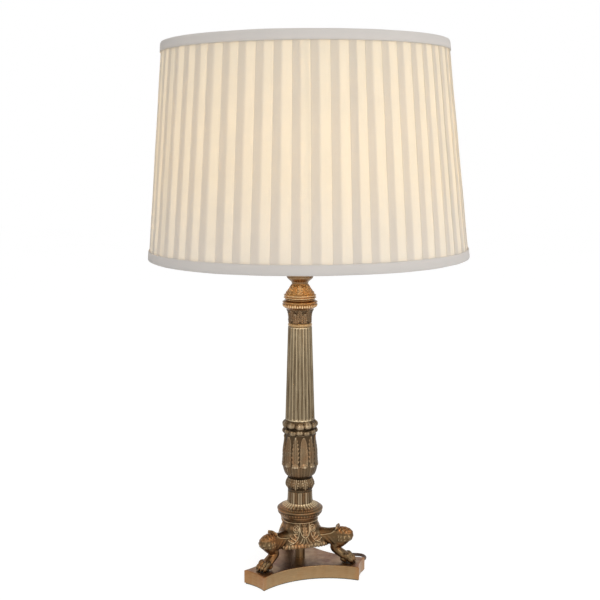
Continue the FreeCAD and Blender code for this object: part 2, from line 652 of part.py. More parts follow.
# ---- bulb ----------------------------------------------------------------------------------------------------
def bulb_face(inset):
    """Half outline of the pear shaped glass, drawn in by inset."""
    centre = BULB_CAP_TOP + BULB_LENGTH - BULB_RADIUS
    neck = FreeCAD.Vector(BULB_NECK_RADIUS - inset, 0, BULB_CAP_TOP + inset)
    shoulder = FreeCAD.Vector(BULB_NECK_RADIUS + BULB_SHOULDER_OUT - inset, 0, BULB_CAP_TOP + BULB_SHOULDER_UP)
    ball = BULB_RADIUS - inset
    meeting = math.radians(BULB_MEETING_ANGLE)
    low = FreeCAD.Vector(ball * math.cos(meeting), 0, centre - ball * math.sin(meeting))
    side = FreeCAD.Vector(ball * math.cos(meeting), 0, centre + ball * math.sin(meeting))
    tip = FreeCAD.Vector(0, 0, centre + ball)
    foot = FreeCAD.Vector(0, 0, BULB_CAP_TOP + inset)
    neck_curve = Part.BSplineCurve()
    slope = FreeCAD.Vector(math.sin(meeting), 0, math.cos(meeting))
    neck_curve.interpolate([neck, shoulder, low], InitialTangent=AXIS, FinalTangent=slope)
    edges = [
        Part.makeLine(foot, neck),
        neck_curve.toShape(),
        Part.Arc(low, side, tip).toShape(),
        Part.makeLine(tip, foot),
    ]
    return Part.Face(Part.Wire(edges))


def make_bulb_glass():
    outer = bulb_face(0.0).revolve(ORIGIN, AXIS, 360)
    inner = bulb_face(BULB_GLASS).revolve(ORIGIN, AXIS, 360)
    return outer.cut(inner)


def make_bulb_stem():
    """Glass stem with the cross wire of the filament, standing on the floor of the bulb."""
    floor = BULB_CAP_TOP + BULB_GLASS
    stem = Part.makeCone(STEM_RADIUS * 1.6, STEM_RADIUS * 0.5, STEM_LENGTH, FreeCAD.Vector(0, 0, floor))
    start = FreeCAD.Vector(-FILAMENT_SPAN / 2, 0, floor + STEM_LENGTH - FILAMENT_RADIUS)
    wire = Part.makeCylinder(FILAMENT_RADIUS, FILAMENT_SPAN, start, FreeCAD.Vector(1, 0, 0))
    return stem.fuse(wire).removeSplitter()


def make_bulb_cap():
    cap = rod(BULB_CAP_RADIUS, BULB_CAP_BOTTOM + BULB_CONTACT_LENGTH, BULB_CAP_TOP)
    bottom = FreeCAD.Vector(0, 0, BULB_CAP_BOTTOM)
    point = Part.makeCone(CONTACT_RADIUS, BULB_CAP_RADIUS - 1.0, BULB_CONTACT_LENGTH, bottom)
    return cap.fuse(point).removeSplitter()


# ---- flex ----------------------------------------------------------------------------------------------------
def straight_and_arc_path(points):
    """Straight runs joined by tangent arcs as large as the runs allow; prints the arcs' radii."""
    edges = []
    radii = []
    here = points[0]
    for before, corner, after in zip(points, points[1:], points[2:]):
        incoming = corner - before
        outgoing = after - corner
        turn = incoming.getAngle(outgoing)
        shorter = min(incoming.Length, outgoing.Length)
        cut_back = 0.45 * shorter
        radii.append(round(cut_back / math.tan(turn / 2), 1))
        start = corner - incoming.normalize() * cut_back
        end = corner + outgoing.normalize() * cut_back
        bisector = (start + end) * 0.5 - corner
        radius = cut_back / math.tan(turn / 2)
        to_centre = radius / math.cos(turn / 2)
        middle = corner + bisector.normalize() * (to_centre - radius)
        edges.append(Part.makeLine(here, start))
        edges.append(Part.Arc(start, middle, end).toShape())
        here = end
    edges.append(Part.makeLine(here, points[-1]))
    print("bend radii", radii)
    return Part.Wire(edges)


def cord_along(path, name):
    start = path.Edges[0].valueAt(path.Edges[0].FirstParameter)
    direction = path.Edges[0].tangentAt(path.Edges[0].FirstParameter)
    section = Part.Wire([Part.Circle(start, direction, CORD_RADIUS).toShape()])
    shape = path.makePipeShell([section], True, False)
    expected = math.pi * CORD_RADIUS ** 2 * path.Length
    print(name, "length", round(path.Length, 1), "volume share", round(shape.Volume / expected, 4))
    return shape


def biarc(start, start_way, end, end_way):
    """Two tangent arcs between two points with given directions; returns their edges."""
    across = end - start
    both = start_way + end_way
    # equal handle lengths reach, from |across|^2 - 2 reach across.both + 2 reach^2 (ways - 1) = 0
    quadratic = 2 * (start_way.dot(end_way) - 1)
    linear = -2 * across.dot(both)
    constant = across.dot(across)
    root = math.sqrt(linear * linear - 4 * quadratic * constant)
    reach = (-linear - root) / (2 * quadratic)
    first_handle = start + start_way * reach
    last_handle = end - end_way * reach
    joint = (first_handle + last_handle) * 0.5
    return [tangent_arc(start, first_handle, joint), tangent_arc(joint, last_handle, end)]


def tangent_arc(start, handle, end):
    chord_middle = (start + end) * 0.5
    half_chord = (end - start).Length / 2
    rise = handle - chord_middle
    half_turn = math.atan2(rise.Length, half_chord)
    sagitta = half_chord * math.tan(half_turn / 2)
    middle = chord_middle + rise.normalize() * sagitta
    return Part.Arc(start, middle, end).toShape()


def coil_path():
    """Two flat layers: a spiral of half turns inwards, a climbing half turn, and a smaller spiral outwards."""
    low = COIL_LOW
    high = COIL_HIGH
    centre_x = COIL_START[0] - COIL_OUTER_RADIUS
    ahead = FreeCAD.Vector(0, 1, 0)
    back = FreeCAD.Vector(0, -1, 0)
    rights = [COIL_OUTER_RADIUS - COIL_PITCH * number for number in range(COIL_TURNS_PER_LAYER + 1)]

    def place(x, level):
        return FreeCAD.Vector(centre_x + x, COIL_START[1], level)

    start = place(rights[0], low)
    edges = [Part.makeLine(start - ahead * 2 * CORD_RADIUS, start)]
    for right, following in zip(rights, rights[1:]):
        edges += biarc(place(right, low), ahead, place(-right, low), back)
        edges += biarc(place(-right, low), back, place(following, low), ahead)
    inner = rights[-1]
    edges += biarc(place(inner, low), ahead, place(-inner, high), back)
    outward = rights[:0:-1]
    for right, following in zip(outward, outward[1:]):
        edges += biarc(place(-right, high), back, place(following, high), ahead)
        edges += biarc(place(following, high), ahead, place(-following, high), back)
    end = place(-outward[-1], high)
    edges.append(Part.makeLine(end, end + back * 2 * CORD_RADIUS))
    return Part.Wire(edges)


def least_gap(path):
    """Least distance between turns of a path, less the cord's diameter, measured on points."""
    spacing = 3.0
    points = path.discretize(Distance=spacing)
    skip = int(math.pi * 6 * CORD_RADIUS / spacing)
    gap = 1e9
    for number, point in enumerate(points):
        for other in points[number + skip:]:
            gap = min(gap, point.distanceToPoint(other))
    return gap - 2 * CORD_RADIUS


def route_points():
    """The free flex from the plinth to the coil, chosen by hand: it shows once, past the right corner."""
    table = CORD_RADIUS + 0.15
    out = exit_direction()
    wall = out * (side_distance() + GROMMET_PROUD + RELIEF_LENGTH)
    first = FreeCAD.Vector(wall.x, wall.y, CORD_EXIT_HEIGHT)
    second = first + out * STRAIGHT_OUT
    second.z = CORD_EXIT_HEIGHT - 0.9
    listed = [
        (72.0, 27.3, 3.0), (81.1, 25.2, table), (88.6, 30.6, table), (89.6, 39.8, table), (83.4, 46.6, table),
        (72.0, 46.7, table), (60.5, 53.5, table), (51.5, 66.5, table), (46.0, 84.0, table),
        (38.0, 104.0, COIL_LOW),
    ]
    points = [first, second]
    points += [FreeCAD.Vector(*place) for place in listed]
    points.append(FreeCAD.Vector(COIL_START[0], COIL_START[1] - 2 * CORD_RADIUS, COIL_LOW))
    return points


def plug_bottom():
    """The plug lies on the coil's upper layer."""
    return COIL_HIGH + CORD_RADIUS + PLUG_CLEARANCE


def tail_points():
    """From the coil's left end up and over its front to the plug."""
    left = COIL_START[0] - 2 * COIL_OUTER_RADIUS + COIL_PITCH
    y = COIL_START[1]
    plug_level = plug_bottom() + PLUG_HEIGHT / 2
    return [
        FreeCAD.Vector(left, y - 2 * CORD_RADIUS, COIL_HIGH),
        FreeCAD.Vector(left, y - 12.0, COIL_HIGH),
        FreeCAD.Vector(left + 3.5, y - 22.5, plug_level - 3.5),
        FreeCAD.Vector(left + 13.0, y - 26.0, plug_level),
        FreeCAD.Vector(left + 21.5, y - 26.0, plug_level),
    ]


def make_inner_flex():
    """The flex inside the lamp: in from the grommet, up the central tube and into the lampholder."""
    out = exit_direction()
    entry = out * (side_distance() + GROMMET_PROUD + RELIEF_LENGTH)
    entry.z = CORD_EXIT_HEIGHT
    bend_start = out * INNER_BEND_RADIUS
    bend_start.z = CORD_EXIT_HEIGHT
    bend_end = FreeCAD.Vector(0, 0, CORD_EXIT_HEIGHT + INNER_BEND_RADIUS)
    corner_share = 1 - math.sqrt(0.5)
    bend_middle = out * (INNER_BEND_RADIUS * corner_share)
    bend_middle.z = CORD_EXIT_HEIGHT + INNER_BEND_RADIUS * corner_share
    head = FreeCAD.Vector(0, 0, INSERT_TOP - CONTACT_SEAT)
    path = Part.Wire([
        Part.makeLine(entry, bend_start),
        Part.Arc(bend_start, bend_middle, bend_end).toShape(),
        Part.makeLine(bend_end, head),
    ])
    return cord_along(path, "inner flex")


def make_tie():
    """A flat strap round all the strands of the coil, on its right."""
    centre_x = COIL_START[0] - COIL_OUTER_RADIUS
    far = COIL_OUTER_RADIUS + CORD_RADIUS + TIE_CLEARANCE
    near = COIL_OUTER_RADIUS - COIL_TURNS_PER_LAYER * COIL_PITCH - CORD_RADIUS - TIE_INNER_CLEARANCE
    top = COIL_HIGH + CORD_RADIUS + TIE_CLEARANCE
    bottom = COIL_LIFT - TIE_CLEARANCE
    wall = TIE_THICKNESS
    y = COIL_START[1] - TIE_WIDTH / 2
    outer = Part.makeBox(far - near + 2 * wall, TIE_WIDTH, top - bottom + 2 * wall,
                         FreeCAD.Vector(centre_x + near - wall, y, bottom - wall))
    inner = Part.makeBox(far - near, TIE_WIDTH, top - bottom, FreeCAD.Vector(centre_x + near, y, bottom))
    return outer.cut(inner)


def make_plug():
    """Flat two pin plug lying on the coil, its pins towards +X."""
    face = tail_points()[-1]
    corner = FreeCAD.Vector(face.x, face.y - PLUG_WIDTH / 2, plug_bottom())
    body = Part.makeBox(PLUG_LENGTH, PLUG_WIDTH, PLUG_HEIGHT, corner)
    long_edges = [edge for edge in body.Edges if abs(edge.tangentAt(edge.FirstParameter).x) > 0.9]
    return body.makeFillet(PLUG_ROUND, long_edges)


def make_plug_pins():
    face = tail_points()[-1]
    pins = []
    for side in (-1, 1):
        start = FreeCAD.Vector(face.x + PLUG_LENGTH, face.y + side * PIN_SPACING / 2, face.z)
        pins.append(Part.makeCylinder(PIN_RADIUS, PIN_LENGTH, start, FreeCAD.Vector(1, 0, 0)))
    return Part.makeCompound(pins)


def main():
    os.makedirs("parts", exist_ok=True)

    felt = plinth_prism(FELT_INSET, 0.0, FELT_THICKNESS)
    save("felt_pad", felt)
    save("plinth", make_plinth())
    save("cord_grommet", make_grommet())

    skirt = make_skirt()
    leg = make_leg().cut(leg_tap_hole())
    for name, angle in zip(("paw_leg_right", "paw_leg_back", "paw_leg_left"), corner_angles()):
        placed = leg.copy()
        placed.rotate(ORIGIN, AXIS, angle)
        save(name, placed.cut(skirt))
    screws = []
    for angle in corner_angles():
        screw = make_leg_screw()
        screw.rotate(ORIGIN, AXIS, angle)
        screws.append(screw)
    save("leg_screws", Part.makeCompound(screws))

    save("tripod_skirt", skirt)
    save("collar_dish", turned(DISH_BOTTOM, DISH_HEIGHT, DISH_RADIUS, DISH_OUTLINE))
    save("reeded_drum", turned(DRUM_BOTTOM, DRUM_HEIGHT, DRUM_RADIUS, DRUM_OUTLINE))
    save("lower_knop", turned(KNOP_BOTTOM, KNOP_HEIGHT, KNOP_RADIUS, KNOP_OUTLINE))
    save("leaf_calyx", turned(CALYX_BOTTOM, CALYX_HEIGHT, CALYX_RADIUS, CALYX_OUTLINE))
    save("leaf_collar", turned(COLLAR_BOTTOM, COLLAR_HEIGHT, COLLAR_RADIUS, COLLAR_OUTLINE))
    save("fluted_shaft", make_shaft())
    save("neck_ring", make_neck_ring())
    save("leaf_capital", turned(CAPITAL_BOTTOM, CAPITAL_HEIGHT, CAPITAL_RADIUS, CAPITAL_OUTLINE))
    save("bead_ring", turned(BEAD_RING_BOTTOM, BEAD_RING_HEIGHT, BEAD_RING_RADIUS, BEAD_RING_OUTLINE))
    save("reeded_bell", turned(BELL_BOTTOM, BELL_HEIGHT, BELL_RADIUS, BELL_OUTLINE))
    save("candle_cup", make_cup())

    save("central_tube", tube(TUBE_RADIUS, TUBE_BORE_RADIUS, TUBE_BOTTOM, TUBE_TOP))
    sleeve_radius = COLUMN_BORE_RADIUS + SLEEVE_WALL
    save("tube_sleeve", tube(sleeve_radius, COLUMN_BORE_RADIUS, PLINTH_TOP, SKIRT_BOTTOM))
    save("base_washer", tube(WASHER_RADIUS, COLUMN_BORE_RADIUS, NUT_TOP, CAVITY_TOP))
    nut = hexagon(NUT_ACROSS_CORNERS, NUT_BOTTOM, NUT_TOP)
    save("base_nut", nut.cut(rod(TUBE_RADIUS, NUT_BOTTOM, NUT_TOP)))

    riser = tube(RISER_RADIUS, TUBE_RADIUS, CUP_FLOOR, TUBE_TOP)
    riser = riser.fuse(tube(RISER_RADIUS, TUBE_BORE_RADIUS, TUBE_TOP, RISER_TOP)).removeSplitter()
    save("riser_tube", riser)
    save("holder_cap", make_holder_cap())
    save("switch_bar", make_switch_bar())
    shell_bore = HOLDER_SHELL_RADIUS - HOLDER_SHELL_WALL
    save("holder_shell", tube(HOLDER_SHELL_RADIUS, shell_bore, HOLDER_CAP_TOP, HOLDER_TOP))
    save("holder_insert", make_insert())
    save("centre_contact", rod(CONTACT_RADIUS, INSERT_TOP, INSERT_TOP + CONTACT_THICKNESS))
    screw_bore = SCREW_SHELL_RADIUS - SCREW_SHELL_WALL
    save("screw_shell", tube(SCREW_SHELL_RADIUS, screw_bore, INSERT_TOP, INSERT_TOP + BULB_CAP_LENGTH - 2.0))
    lower_top = HUB_BOTTOM - RUNNING_CLEARANCE
    save("lower_shade_ring", tube(SHADE_RING_RADIUS, HOLDER_SHELL_RADIUS, lower_top - SHADE_RING_THICKNESS, lower_top))
    upper_bottom = HUB_BOTTOM + HUB_THICKNESS + RUNNING_CLEARANCE
    save("upper_shade_ring", tube(SHADE_RING_RADIUS, HOLDER_SHELL_RADIUS, upper_bottom,
                                  upper_bottom + SHADE_RING_THICKNESS))

    save("bulb_cap", make_bulb_cap())
    save("bulb_glass", make_bulb_glass())
    save("bulb_stem", make_bulb_stem())

    save("spider_hub", tube(HUB_RADIUS, HUB_BORE_RADIUS, HUB_BOTTOM, HUB_BOTTOM + HUB_THICKNESS))
    save("spider_arms", make_spider_arms())
    save("bottom_ring_wire", make_ring_wire(RING_SHARE))
    save("top_ring_wire", make_ring_wire(1 - RING_SHARE))
    save("frame_ribs", make_ribs())
    save("shade_lining", shade_band(0.0, 1.0, LINING_INSET, LINING_INNER_INSET))
    save("shade_cover", make_cover())
    save("bottom_trim", shade_band(0.0, TRIM_SHARE, -TRIM_THICKNESS, 0.0))
    save("top_trim", shade_band(1 - TRIM_SHARE, 1.0, -TRIM_THICKNESS, 0.0))

    save("inner_flex", make_inner_flex())
    run_path = straight_and_arc_path(route_points())
    save("cord_run", cord_along(run_path, "cord run"))
    path = coil_path()
    print("coil least gap", round(least_gap(path), 2))
    save("cord_coil", cord_along(path, "coil"))
    tail_path = straight_and_arc_path(tail_points())
    save("cord_tail", cord_along(tail_path, "cord tail"))
    print("free flex in all", round(run_path.Length + path.Length + tail_path.Length, 1))
    save("cord_tie", make_tie())
    plug = make_plug()
    save("plug_body", plug)
    save("plug_pins", make_plug_pins())


main()
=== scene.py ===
"""Looks of the candlestick table lamp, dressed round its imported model."""
import math

import bmesh
import bpy
import numpy as np
from mathutils import Matrix, Vector


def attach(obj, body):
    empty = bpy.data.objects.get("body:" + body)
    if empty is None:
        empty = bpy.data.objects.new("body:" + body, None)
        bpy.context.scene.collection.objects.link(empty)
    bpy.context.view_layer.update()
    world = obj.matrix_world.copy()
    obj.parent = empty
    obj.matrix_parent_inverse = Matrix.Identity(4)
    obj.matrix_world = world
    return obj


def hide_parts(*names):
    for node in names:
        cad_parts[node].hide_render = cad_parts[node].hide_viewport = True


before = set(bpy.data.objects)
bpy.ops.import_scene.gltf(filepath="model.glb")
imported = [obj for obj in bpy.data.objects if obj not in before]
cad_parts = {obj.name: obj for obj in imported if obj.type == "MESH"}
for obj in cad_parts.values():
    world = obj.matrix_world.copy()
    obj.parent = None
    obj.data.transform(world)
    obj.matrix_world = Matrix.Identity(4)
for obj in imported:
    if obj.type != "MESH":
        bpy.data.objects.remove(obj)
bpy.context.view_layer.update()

MM = 0.001
TURN = 2 * math.pi

# Levels and radii, in millimetres, as the solids have them.
PLINTH_TOP = 18.5
SKIRT = (41.0, 73.5)
KNOP = (112.4, 129.4)
CAPITAL = (336.4, 354.4)
CUP_FLOOR = 394.4
CUP_WELL = 14.0
BORE = 5.25
LEG_ANGLES = [math.radians(degrees) for degrees in (-14.4, 105.6, 225.6)]
SHADE_BOTTOM = 421.9
SHADE_HEIGHT = 268.7
BOTTOM_RADIUS, TOP_RADIUS = 203.9, 178.7
BOTTOM_SHIFT, TOP_SHIFT = 11.1, 6.3
SHADE_TILT = math.radians(0.43)
TRIM_WIDTH = 12.4


# ---- meshes ----
def placed(name, data):
    """A new object of this data, in the scene."""
    made = bpy.data.objects.new(name, data)
    bpy.context.collection.objects.link(made)
    return made


def keep_values(mesh, name, values):
    """Keeps one number per point, which a material reads by this name."""
    kept = mesh.attributes.new(name, "FLOAT", "POINT")
    kept.data.foreach_set("value", np.asarray(values, np.float32).ravel())


def mesh_object(name, points, faces, relief=None):
    """A smooth shaded object from points in millimetres and equal-sided faces; relief is kept per point."""
    mesh = bpy.data.meshes.new(name)
    points = np.asarray(points, np.float32) * MM
    faces = np.asarray(faces, np.int32)
    mesh.vertices.add(len(points))
    mesh.vertices.foreach_set("co", points.ravel())
    mesh.loops.add(faces.size)
    mesh.loops.foreach_set("vertex_index", faces.ravel())
    mesh.polygons.add(len(faces))
    mesh.polygons.foreach_set("loop_start", np.arange(0, faces.size, faces.shape[1], dtype=np.int32))
    mesh.polygons.foreach_set("use_smooth", np.ones(len(faces), bool))
    mesh.update(calc_edges=True)
    if relief is not None:
        keep_values(mesh, "relief", relief)
    return placed(name, mesh)


def grid_faces(rows, columns, wrap_rows):
    """Quads of a grid whose columns close into rings; with wrap_rows its last row joins the first."""
    last = rows if wrap_rows else rows - 1
    row, column = np.meshgrid(np.arange(last), np.arange(columns), indexing="ij")
    beyond = (column + 1) % columns
    above = (row + 1) % rows
    near, far = row * columns, above * columns
    corners = [near + column, near + beyond, far + beyond, far + column]
    return np.stack(corners, axis=-1).reshape(-1, 4)


def grid_object(name, points, wrap_rows, relief=None):
    """A skin over a grid of points, by rows and columns."""
    faces = grid_faces(*points.shape[:2], wrap_rows)
    return mesh_object(name, points.reshape(-1, 3), faces, relief)


def ring_points(reach, angle, level):
    """Points at this reach from the axis, at these angles and levels."""
    return np.stack(np.broadcast_arrays(reach * np.cos(angle), reach * np.sin(angle), level), axis=-1)


def smooth_line(points, count):
    """Points spread evenly along a smooth curve through the given ones."""
    points = np.asarray(points, float)
    chord = np.concatenate([[0], np.cumsum(np.linalg.norm(np.diff(points, axis=0), axis=1))])
    slope = np.gradient(points, chord, axis=0)
    wanted = np.linspace(0, chord[-1], count)
    which = np.clip(np.searchsorted(chord, wanted, side="right") - 1, 0, len(points) - 2)
    width = (chord[which + 1] - chord[which])[:, None]
    share = (wanted - chord[which])[:, None] / width
    start, end = points[which], points[which + 1]
    begin, finish = slope[which] * width, slope[which + 1] * width
    cube, square = share ** 3, share ** 2
    return (start * (2 * cube - 3 * square + 1) + begin * (cube - 2 * square + share)
            + end * (3 * square - 2 * cube) + finish * (cube - square))


def step(low, high, value):
    """0 below low, 1 above high and smooth between; where high is the lower one it falls instead."""
    share = np.clip((value - low) / (high - low), 0, 1)
    return share * share * (3 - 2 * share)


def bump(value, middle, width):
    """A smooth rise to 1 where value is middle."""
    return np.exp(-((value - middle) / width) ** 2)


def wave(value):
    """Swings between 0 and 1, and is 1 where value is 0."""
    return 0.5 + 0.5 * np.cos(value)


def dome(*reaches):
    """Height, 0 to 1, of a round boss, which ends where the squares of its reaches add up to 1."""
    return np.sqrt(np.clip(1 - sum(reach ** 2 for reach in reaches), 0, 1))


def turned(name, outline, relief, rows=90, around=420, inner=None):
    """A turned piece from its outline of (level, radius); relief gives the height of its ornament."""
    line = smooth_line(outline, rows)
    level, radius = line[:, 0], line[:, 1]
    along = np.gradient(line, axis=0)
    along /= np.maximum(np.linalg.norm(along, axis=1), 1e-9)[:, None]
    angle = np.arange(around) * TURN / around
    height = relief(angle[None, :], level[:, None], radius[:, None])
    out = radius[:, None] + height * along[:, 0][:, None]
    up = level[:, None] - height * along[:, 1][:, None]
    inner = inner or [(level[-1], BORE), (level[0], BORE)]
    inside = np.repeat(np.asarray(inner, float)[:, None, :], around, axis=1)
    up = np.vstack([up, inside[:, :, 0]])
    out = np.vstack([out, inside[:, :, 1]])
    points = ring_points(out, angle, up)
    shown = np.vstack([height, np.zeros(inside.shape[:2])])
    shown = (shown - height.min()) / (height.max() - height.min())
    return grid_object(name, points, True, shown)


def repeat(angle, count, turn=0.0):
    """Angle from the middle of the nearest of count equal parts, and that part's number."""
    part = TURN / count
    number = np.floor((angle - turn) / part + 0.5)
    return angle - turn - number * part, number


def within(angle, count, turn=0.0):
    """Where the angle is in the nearest of count equal parts, -1 to 1, and that part's number."""
    inside, number = repeat(angle, count, turn)
    return inside * count / math.pi, number


def reeds(angle, count):
    """Rounded reeds with sharp valleys between them, 0 to 1."""
    return dome(within(angle, count)[0])


def chased_leaf(across, up, half_width, lobes):
    """Height, 0 to 1, of a lobed leaf with a midrib and veins; up is 0 at its root and 1 at its tip."""
    up_in = np.clip(up, 0, 1)
    spread = half_width * (np.sin(math.pi * (0.12 + 0.88 * up_in) ** 0.8)) ** 0.55
    side = np.abs(across)
    slant = lobes * up_in - 0.75 * side / half_width
    notch = wave(TURN * slant)
    reach = spread * (0.80 + 0.20 * notch)
    body = step(0.0, 0.30 * half_width, reach - side) * step(-0.02, 0.03, up) * step(-0.02, 0.04, 1 - up)
    rib = bump(across, 0, 0.10 * half_width)
    groove = bump(side, 0.17 * half_width, 0.07 * half_width)
    veins = notch * step(0.1, 0.5, side / half_width)
    return body * (0.62 + 0.34 * rib - 0.22 * groove + 0.24 * veins)


def plain_leaf(across, up, half_width, ribs):
    """Height, 0 to 1, of a smooth pointed leaf with lengthwise ribs."""
    up_in = np.clip(up, 0, 1)
    reach = half_width * np.sqrt(np.clip(1 - up_in ** 3, 0, 1))
    side = np.abs(across)
    body = step(0.0, 0.22 * half_width, reach - side) * step(-0.02, 0.03, up)
    fold = wave(math.pi * ribs * across / half_width)
    rim = bump(side, reach * 0.86, 0.1 * half_width)
    return body * (0.60 + 0.20 * fold + 0.25 * rim)


def ridge(x, y, curve, width):
    """Height, 0 to 1, of a rounded line drawn along curve over the plane of x and y."""
    curve = np.asarray(curve, float)
    least = np.full(np.broadcast(x, y).shape, 1e9)
    for px, py in curve:
        least = np.minimum(least, (x - px) ** 2 + (y - py) ** 2)
    return np.exp(-least / width ** 2)


def spiral(centre, radius, start, turns):
    """Points of a scroll that winds in from radius to a quarter of it."""
    share = np.linspace(0, 1, 40)
    angle = math.radians(start) + TURN * turns * share
    reach = radius * (1 - 0.75 * share)
    return ring_points(reach, angle, 0.0)[:, :2] + centre


def stipple(angle, level, radius, pitch):
    """Punched grain: small round pits in staggered rows."""
    row = level / pitch
    column = angle * radius / pitch + 0.5 * np.mod(np.floor(row), 2)
    return 0.5 * np.cos(TURN * row) * np.cos(TURN * column)


# ---- materials ----
class Tree:
    """The node tree of a new material or world, with short calls that make and join nodes."""

    def __init__(self, name, kind="materials"):
        self.owner = getattr(bpy.data, kind).new(name)
        self.owner.use_nodes = True
        self.tree = self.owner.node_tree
        self.tree.nodes.clear()

    def add(self, kind, inputs=None, **settings):
        made = self.tree.nodes.new("ShaderNode" + kind)
        for key, value in settings.items():
            setattr(made, key, value)
        for key, value in (inputs or {}).items():
            self.put(made.inputs[key], value)
        return made

    def put(self, socket, value):
        if isinstance(value, bpy.types.NodeSocket):
            self.tree.links.new(value, socket)
        elif socket.type == "RGBA":
            socket.default_value = (*value, 1.0)
        else:
            socket.default_value = value

    def mix(self, factor, first, second, blend="MIX"):
        made = self.add("Mix", {0: factor, 6: first, 7: second}, data_type="RGBA", blend_type=blend)
        return made.outputs[2]

    def blend(self, factor, first, second):
        return self.add("MixShader", {0: factor, 1: first, 2: second}).outputs[0]

    def math(self, operation, first, second=0.0):
        return self.add("Math", {0: first, 1: second}, operation=operation).outputs[0]

    def times(self, first, second):
        return self.math("MULTIPLY", first, second)

    def toward(self, colour, other, share, most):
        """The colour, moved towards the other one by share of most."""
        return self.mix(self.times(share, most), colour, other)

    def between(self, value, low, high, to_low=0.0, to_high=1.0):
        inputs = {"Value": value, "From Min": low, "From Max": high, "To Min": to_low, "To Max": to_high}
        return self.add("MapRange", inputs).outputs[0]

    def place(self, scale=(1, 1, 1)):
        where = self.add("TexCoord").outputs["Object"]
        return self.add("Mapping", {"Vector": where, "Scale": scale}).outputs[0]

    def axes(self):
        """Sockets of x, y and z, in metres."""
        return self.add("SeparateXYZ", {"Vector": self.place()}).outputs

    def kept(self, name):
        """The numbers that keep_values left on the mesh."""
        return self.add("Attribute", attribute_name=name).outputs["Fac"]

    def noise(self, size, detail=3.0, rough=0.55, scale=(1, 1, 1), warp=0.0):
        """Noise whose grains are about size metres across."""
        inputs = {"Vector": self.place(scale), "Scale": 1 / size, "Detail": detail, "Roughness": rough,
                  "Distortion": warp}
        return self.add("TexNoise", inputs).outputs[0]

    def bump(self, height, strength, distance, **more):
        inputs = {"Height": height, "Strength": strength, "Distance": distance, **more}
        return self.add("Bump", inputs).outputs[0]

    def principled(self, inputs):
        return self.finish(self.add("BsdfPrincipled", inputs).outputs[0])

    def finish(self, shader, kind="OutputMaterial"):
        self.add(kind, {"Surface": shader})
        return self.owner


def tone(*levels):
    """A colour from display levels 0 to 255."""
    shares = [level / 255 for level in levels]
    return tuple(s / 12.92 if s <= 0.04045 else ((s + 0.055) / 1.055) ** 2.4 for s in shares)


def antique_brass(name, body, warm, dark, bright, roughness=0.36, carved=True, brushed=None, mottle=0.5,
                  fine=1.0, regions=None, painted_side_shade=0.0):
    """Old brass: mottled body and warm patches, dark patina in its recesses and rubbed bright on its high
    places.
    Ambient occlusion adds painted shade in the recesses, and sharp edges get a painted highlight as well as
    wear.

    The four colours are display levels. The side shade argument paints shade on the left and right sides of a
    turned piece."""
    body, warm, dark, bright = (tone(*levels) for levels in (body, warm, dark, bright))
    t = Tree(name)
    patches = t.between(t.noise(0.022, 4.0, 0.6, warp=0.6), 0.42, 0.62)
    colour = t.toward(body, warm, patches, mottle)
    if regions:
        colour = regions(t, colour)
    specks = t.between(t.noise(0.0016, 2.0, 0.7), 0.35, 0.75)
    colour = t.toward(colour, dark, specks, 0.22 * fine)
    colour = t.toward(colour, warm, t.kept("warmth"), 0.75)
    # Painted shade: ambient occlusion darkens the recesses towards the dark colour.
    hollow = t.add("AmbientOcclusion", {"Distance": 0.006}, samples=8).outputs["AO"]
    hollow = t.between(hollow, 0.25, 0.85, 1.0, 0.0)
    colour = t.toward(colour, dark, hollow, 0.75)
    if carved:
        height = t.kept("relief")
        colour = t.toward(colour, dark, t.between(height, 0.05, 0.5, 1.0, 0.0), 0.75)
        colour = t.toward(colour, bright, t.between(height, 0.62, 0.95), 0.55)
    # Painted highlight, with some real wear: sharp edges are lightened towards the bright colour.
    edge = t.between(t.add("NewGeometry").outputs["Pointiness"], 0.52, 0.60)
    colour = t.toward(colour, bright, edge, 0.4)
    # Painted shade: the sides that face left and right, along x, are darkened towards the dark colour.
    if painted_side_shade:
        x, y, _ = t.axes()
        facing = t.math("COSINE", t.times(t.math("ARCTAN2", x, y), 2.0))
        colour = t.mix(t.between(facing, 0.75, -0.6, 0.0, painted_side_shade), colour, dark)
    grain = t.noise(0.0009, 3.0, 0.6)
    rough = t.between(t.noise(0.006, 3.0), 0.3, 0.7, roughness - 0.06, roughness + 0.10)
    bumped = t.bump(grain, 0.16 * fine, 0.0004)
    if brushed:
        lines = t.noise(0.0011, 2.0, 0.5, scale=brushed)
        colour = t.mix(t.between(lines, 0.35, 0.7, 0.0, 0.24), colour, bright)
        bumped = t.bump(lines, 0.22, 0.0003, Normal=bumped)
    return t.principled({"Base Color": colour, "Metallic": 1.0, "Roughness": rough, "Normal": bumped})


def plinth_regions(t, colour):
    """Darker brown on top as a painted reflection, more orange round the corners, olive along the sides."""
    x, y, _ = t.axes()
    reach = t.math("SQRT", t.math("ADD", t.math("POWER", x, 2.0), t.math("POWER", y, 2.0)))
    corner = t.between(t.math("ADD", reach, t.times(t.noise(0.02), 0.006)), 0.082, 0.087)
    colour = t.toward(colour, tone(142, 82, 34), corner, 0.85)
    # Painted reflection: the upward faces of the plinth are painted a darker brown.
    facing = t.add("SeparateXYZ", {"Vector": t.add("NewGeometry").outputs["Normal"]}).outputs[2]
    clouds = t.between(t.noise(0.03, 3.0), 0.35, 0.65)
    top = t.mix(clouds, tone(112, 64, 30), tone(88, 48, 22))
    top = t.toward(top, tone(146, 92, 48), corner, 0.8)
    return t.mix(t.between(facing, 0.5, 0.9), colour, top)


def darker_below(t, colour):
    """The shaft is paler at its head and darker towards its foot."""
    _, _, level = t.axes()
    upper = t.between(level, 0.330, 0.275, 0.0, 0.62)
    lower = t.between(level, 0.275, 0.21, 0.0, 0.18)
    return t.mix(t.math("ADD", upper, lower), colour, tone(84, 66, 44))


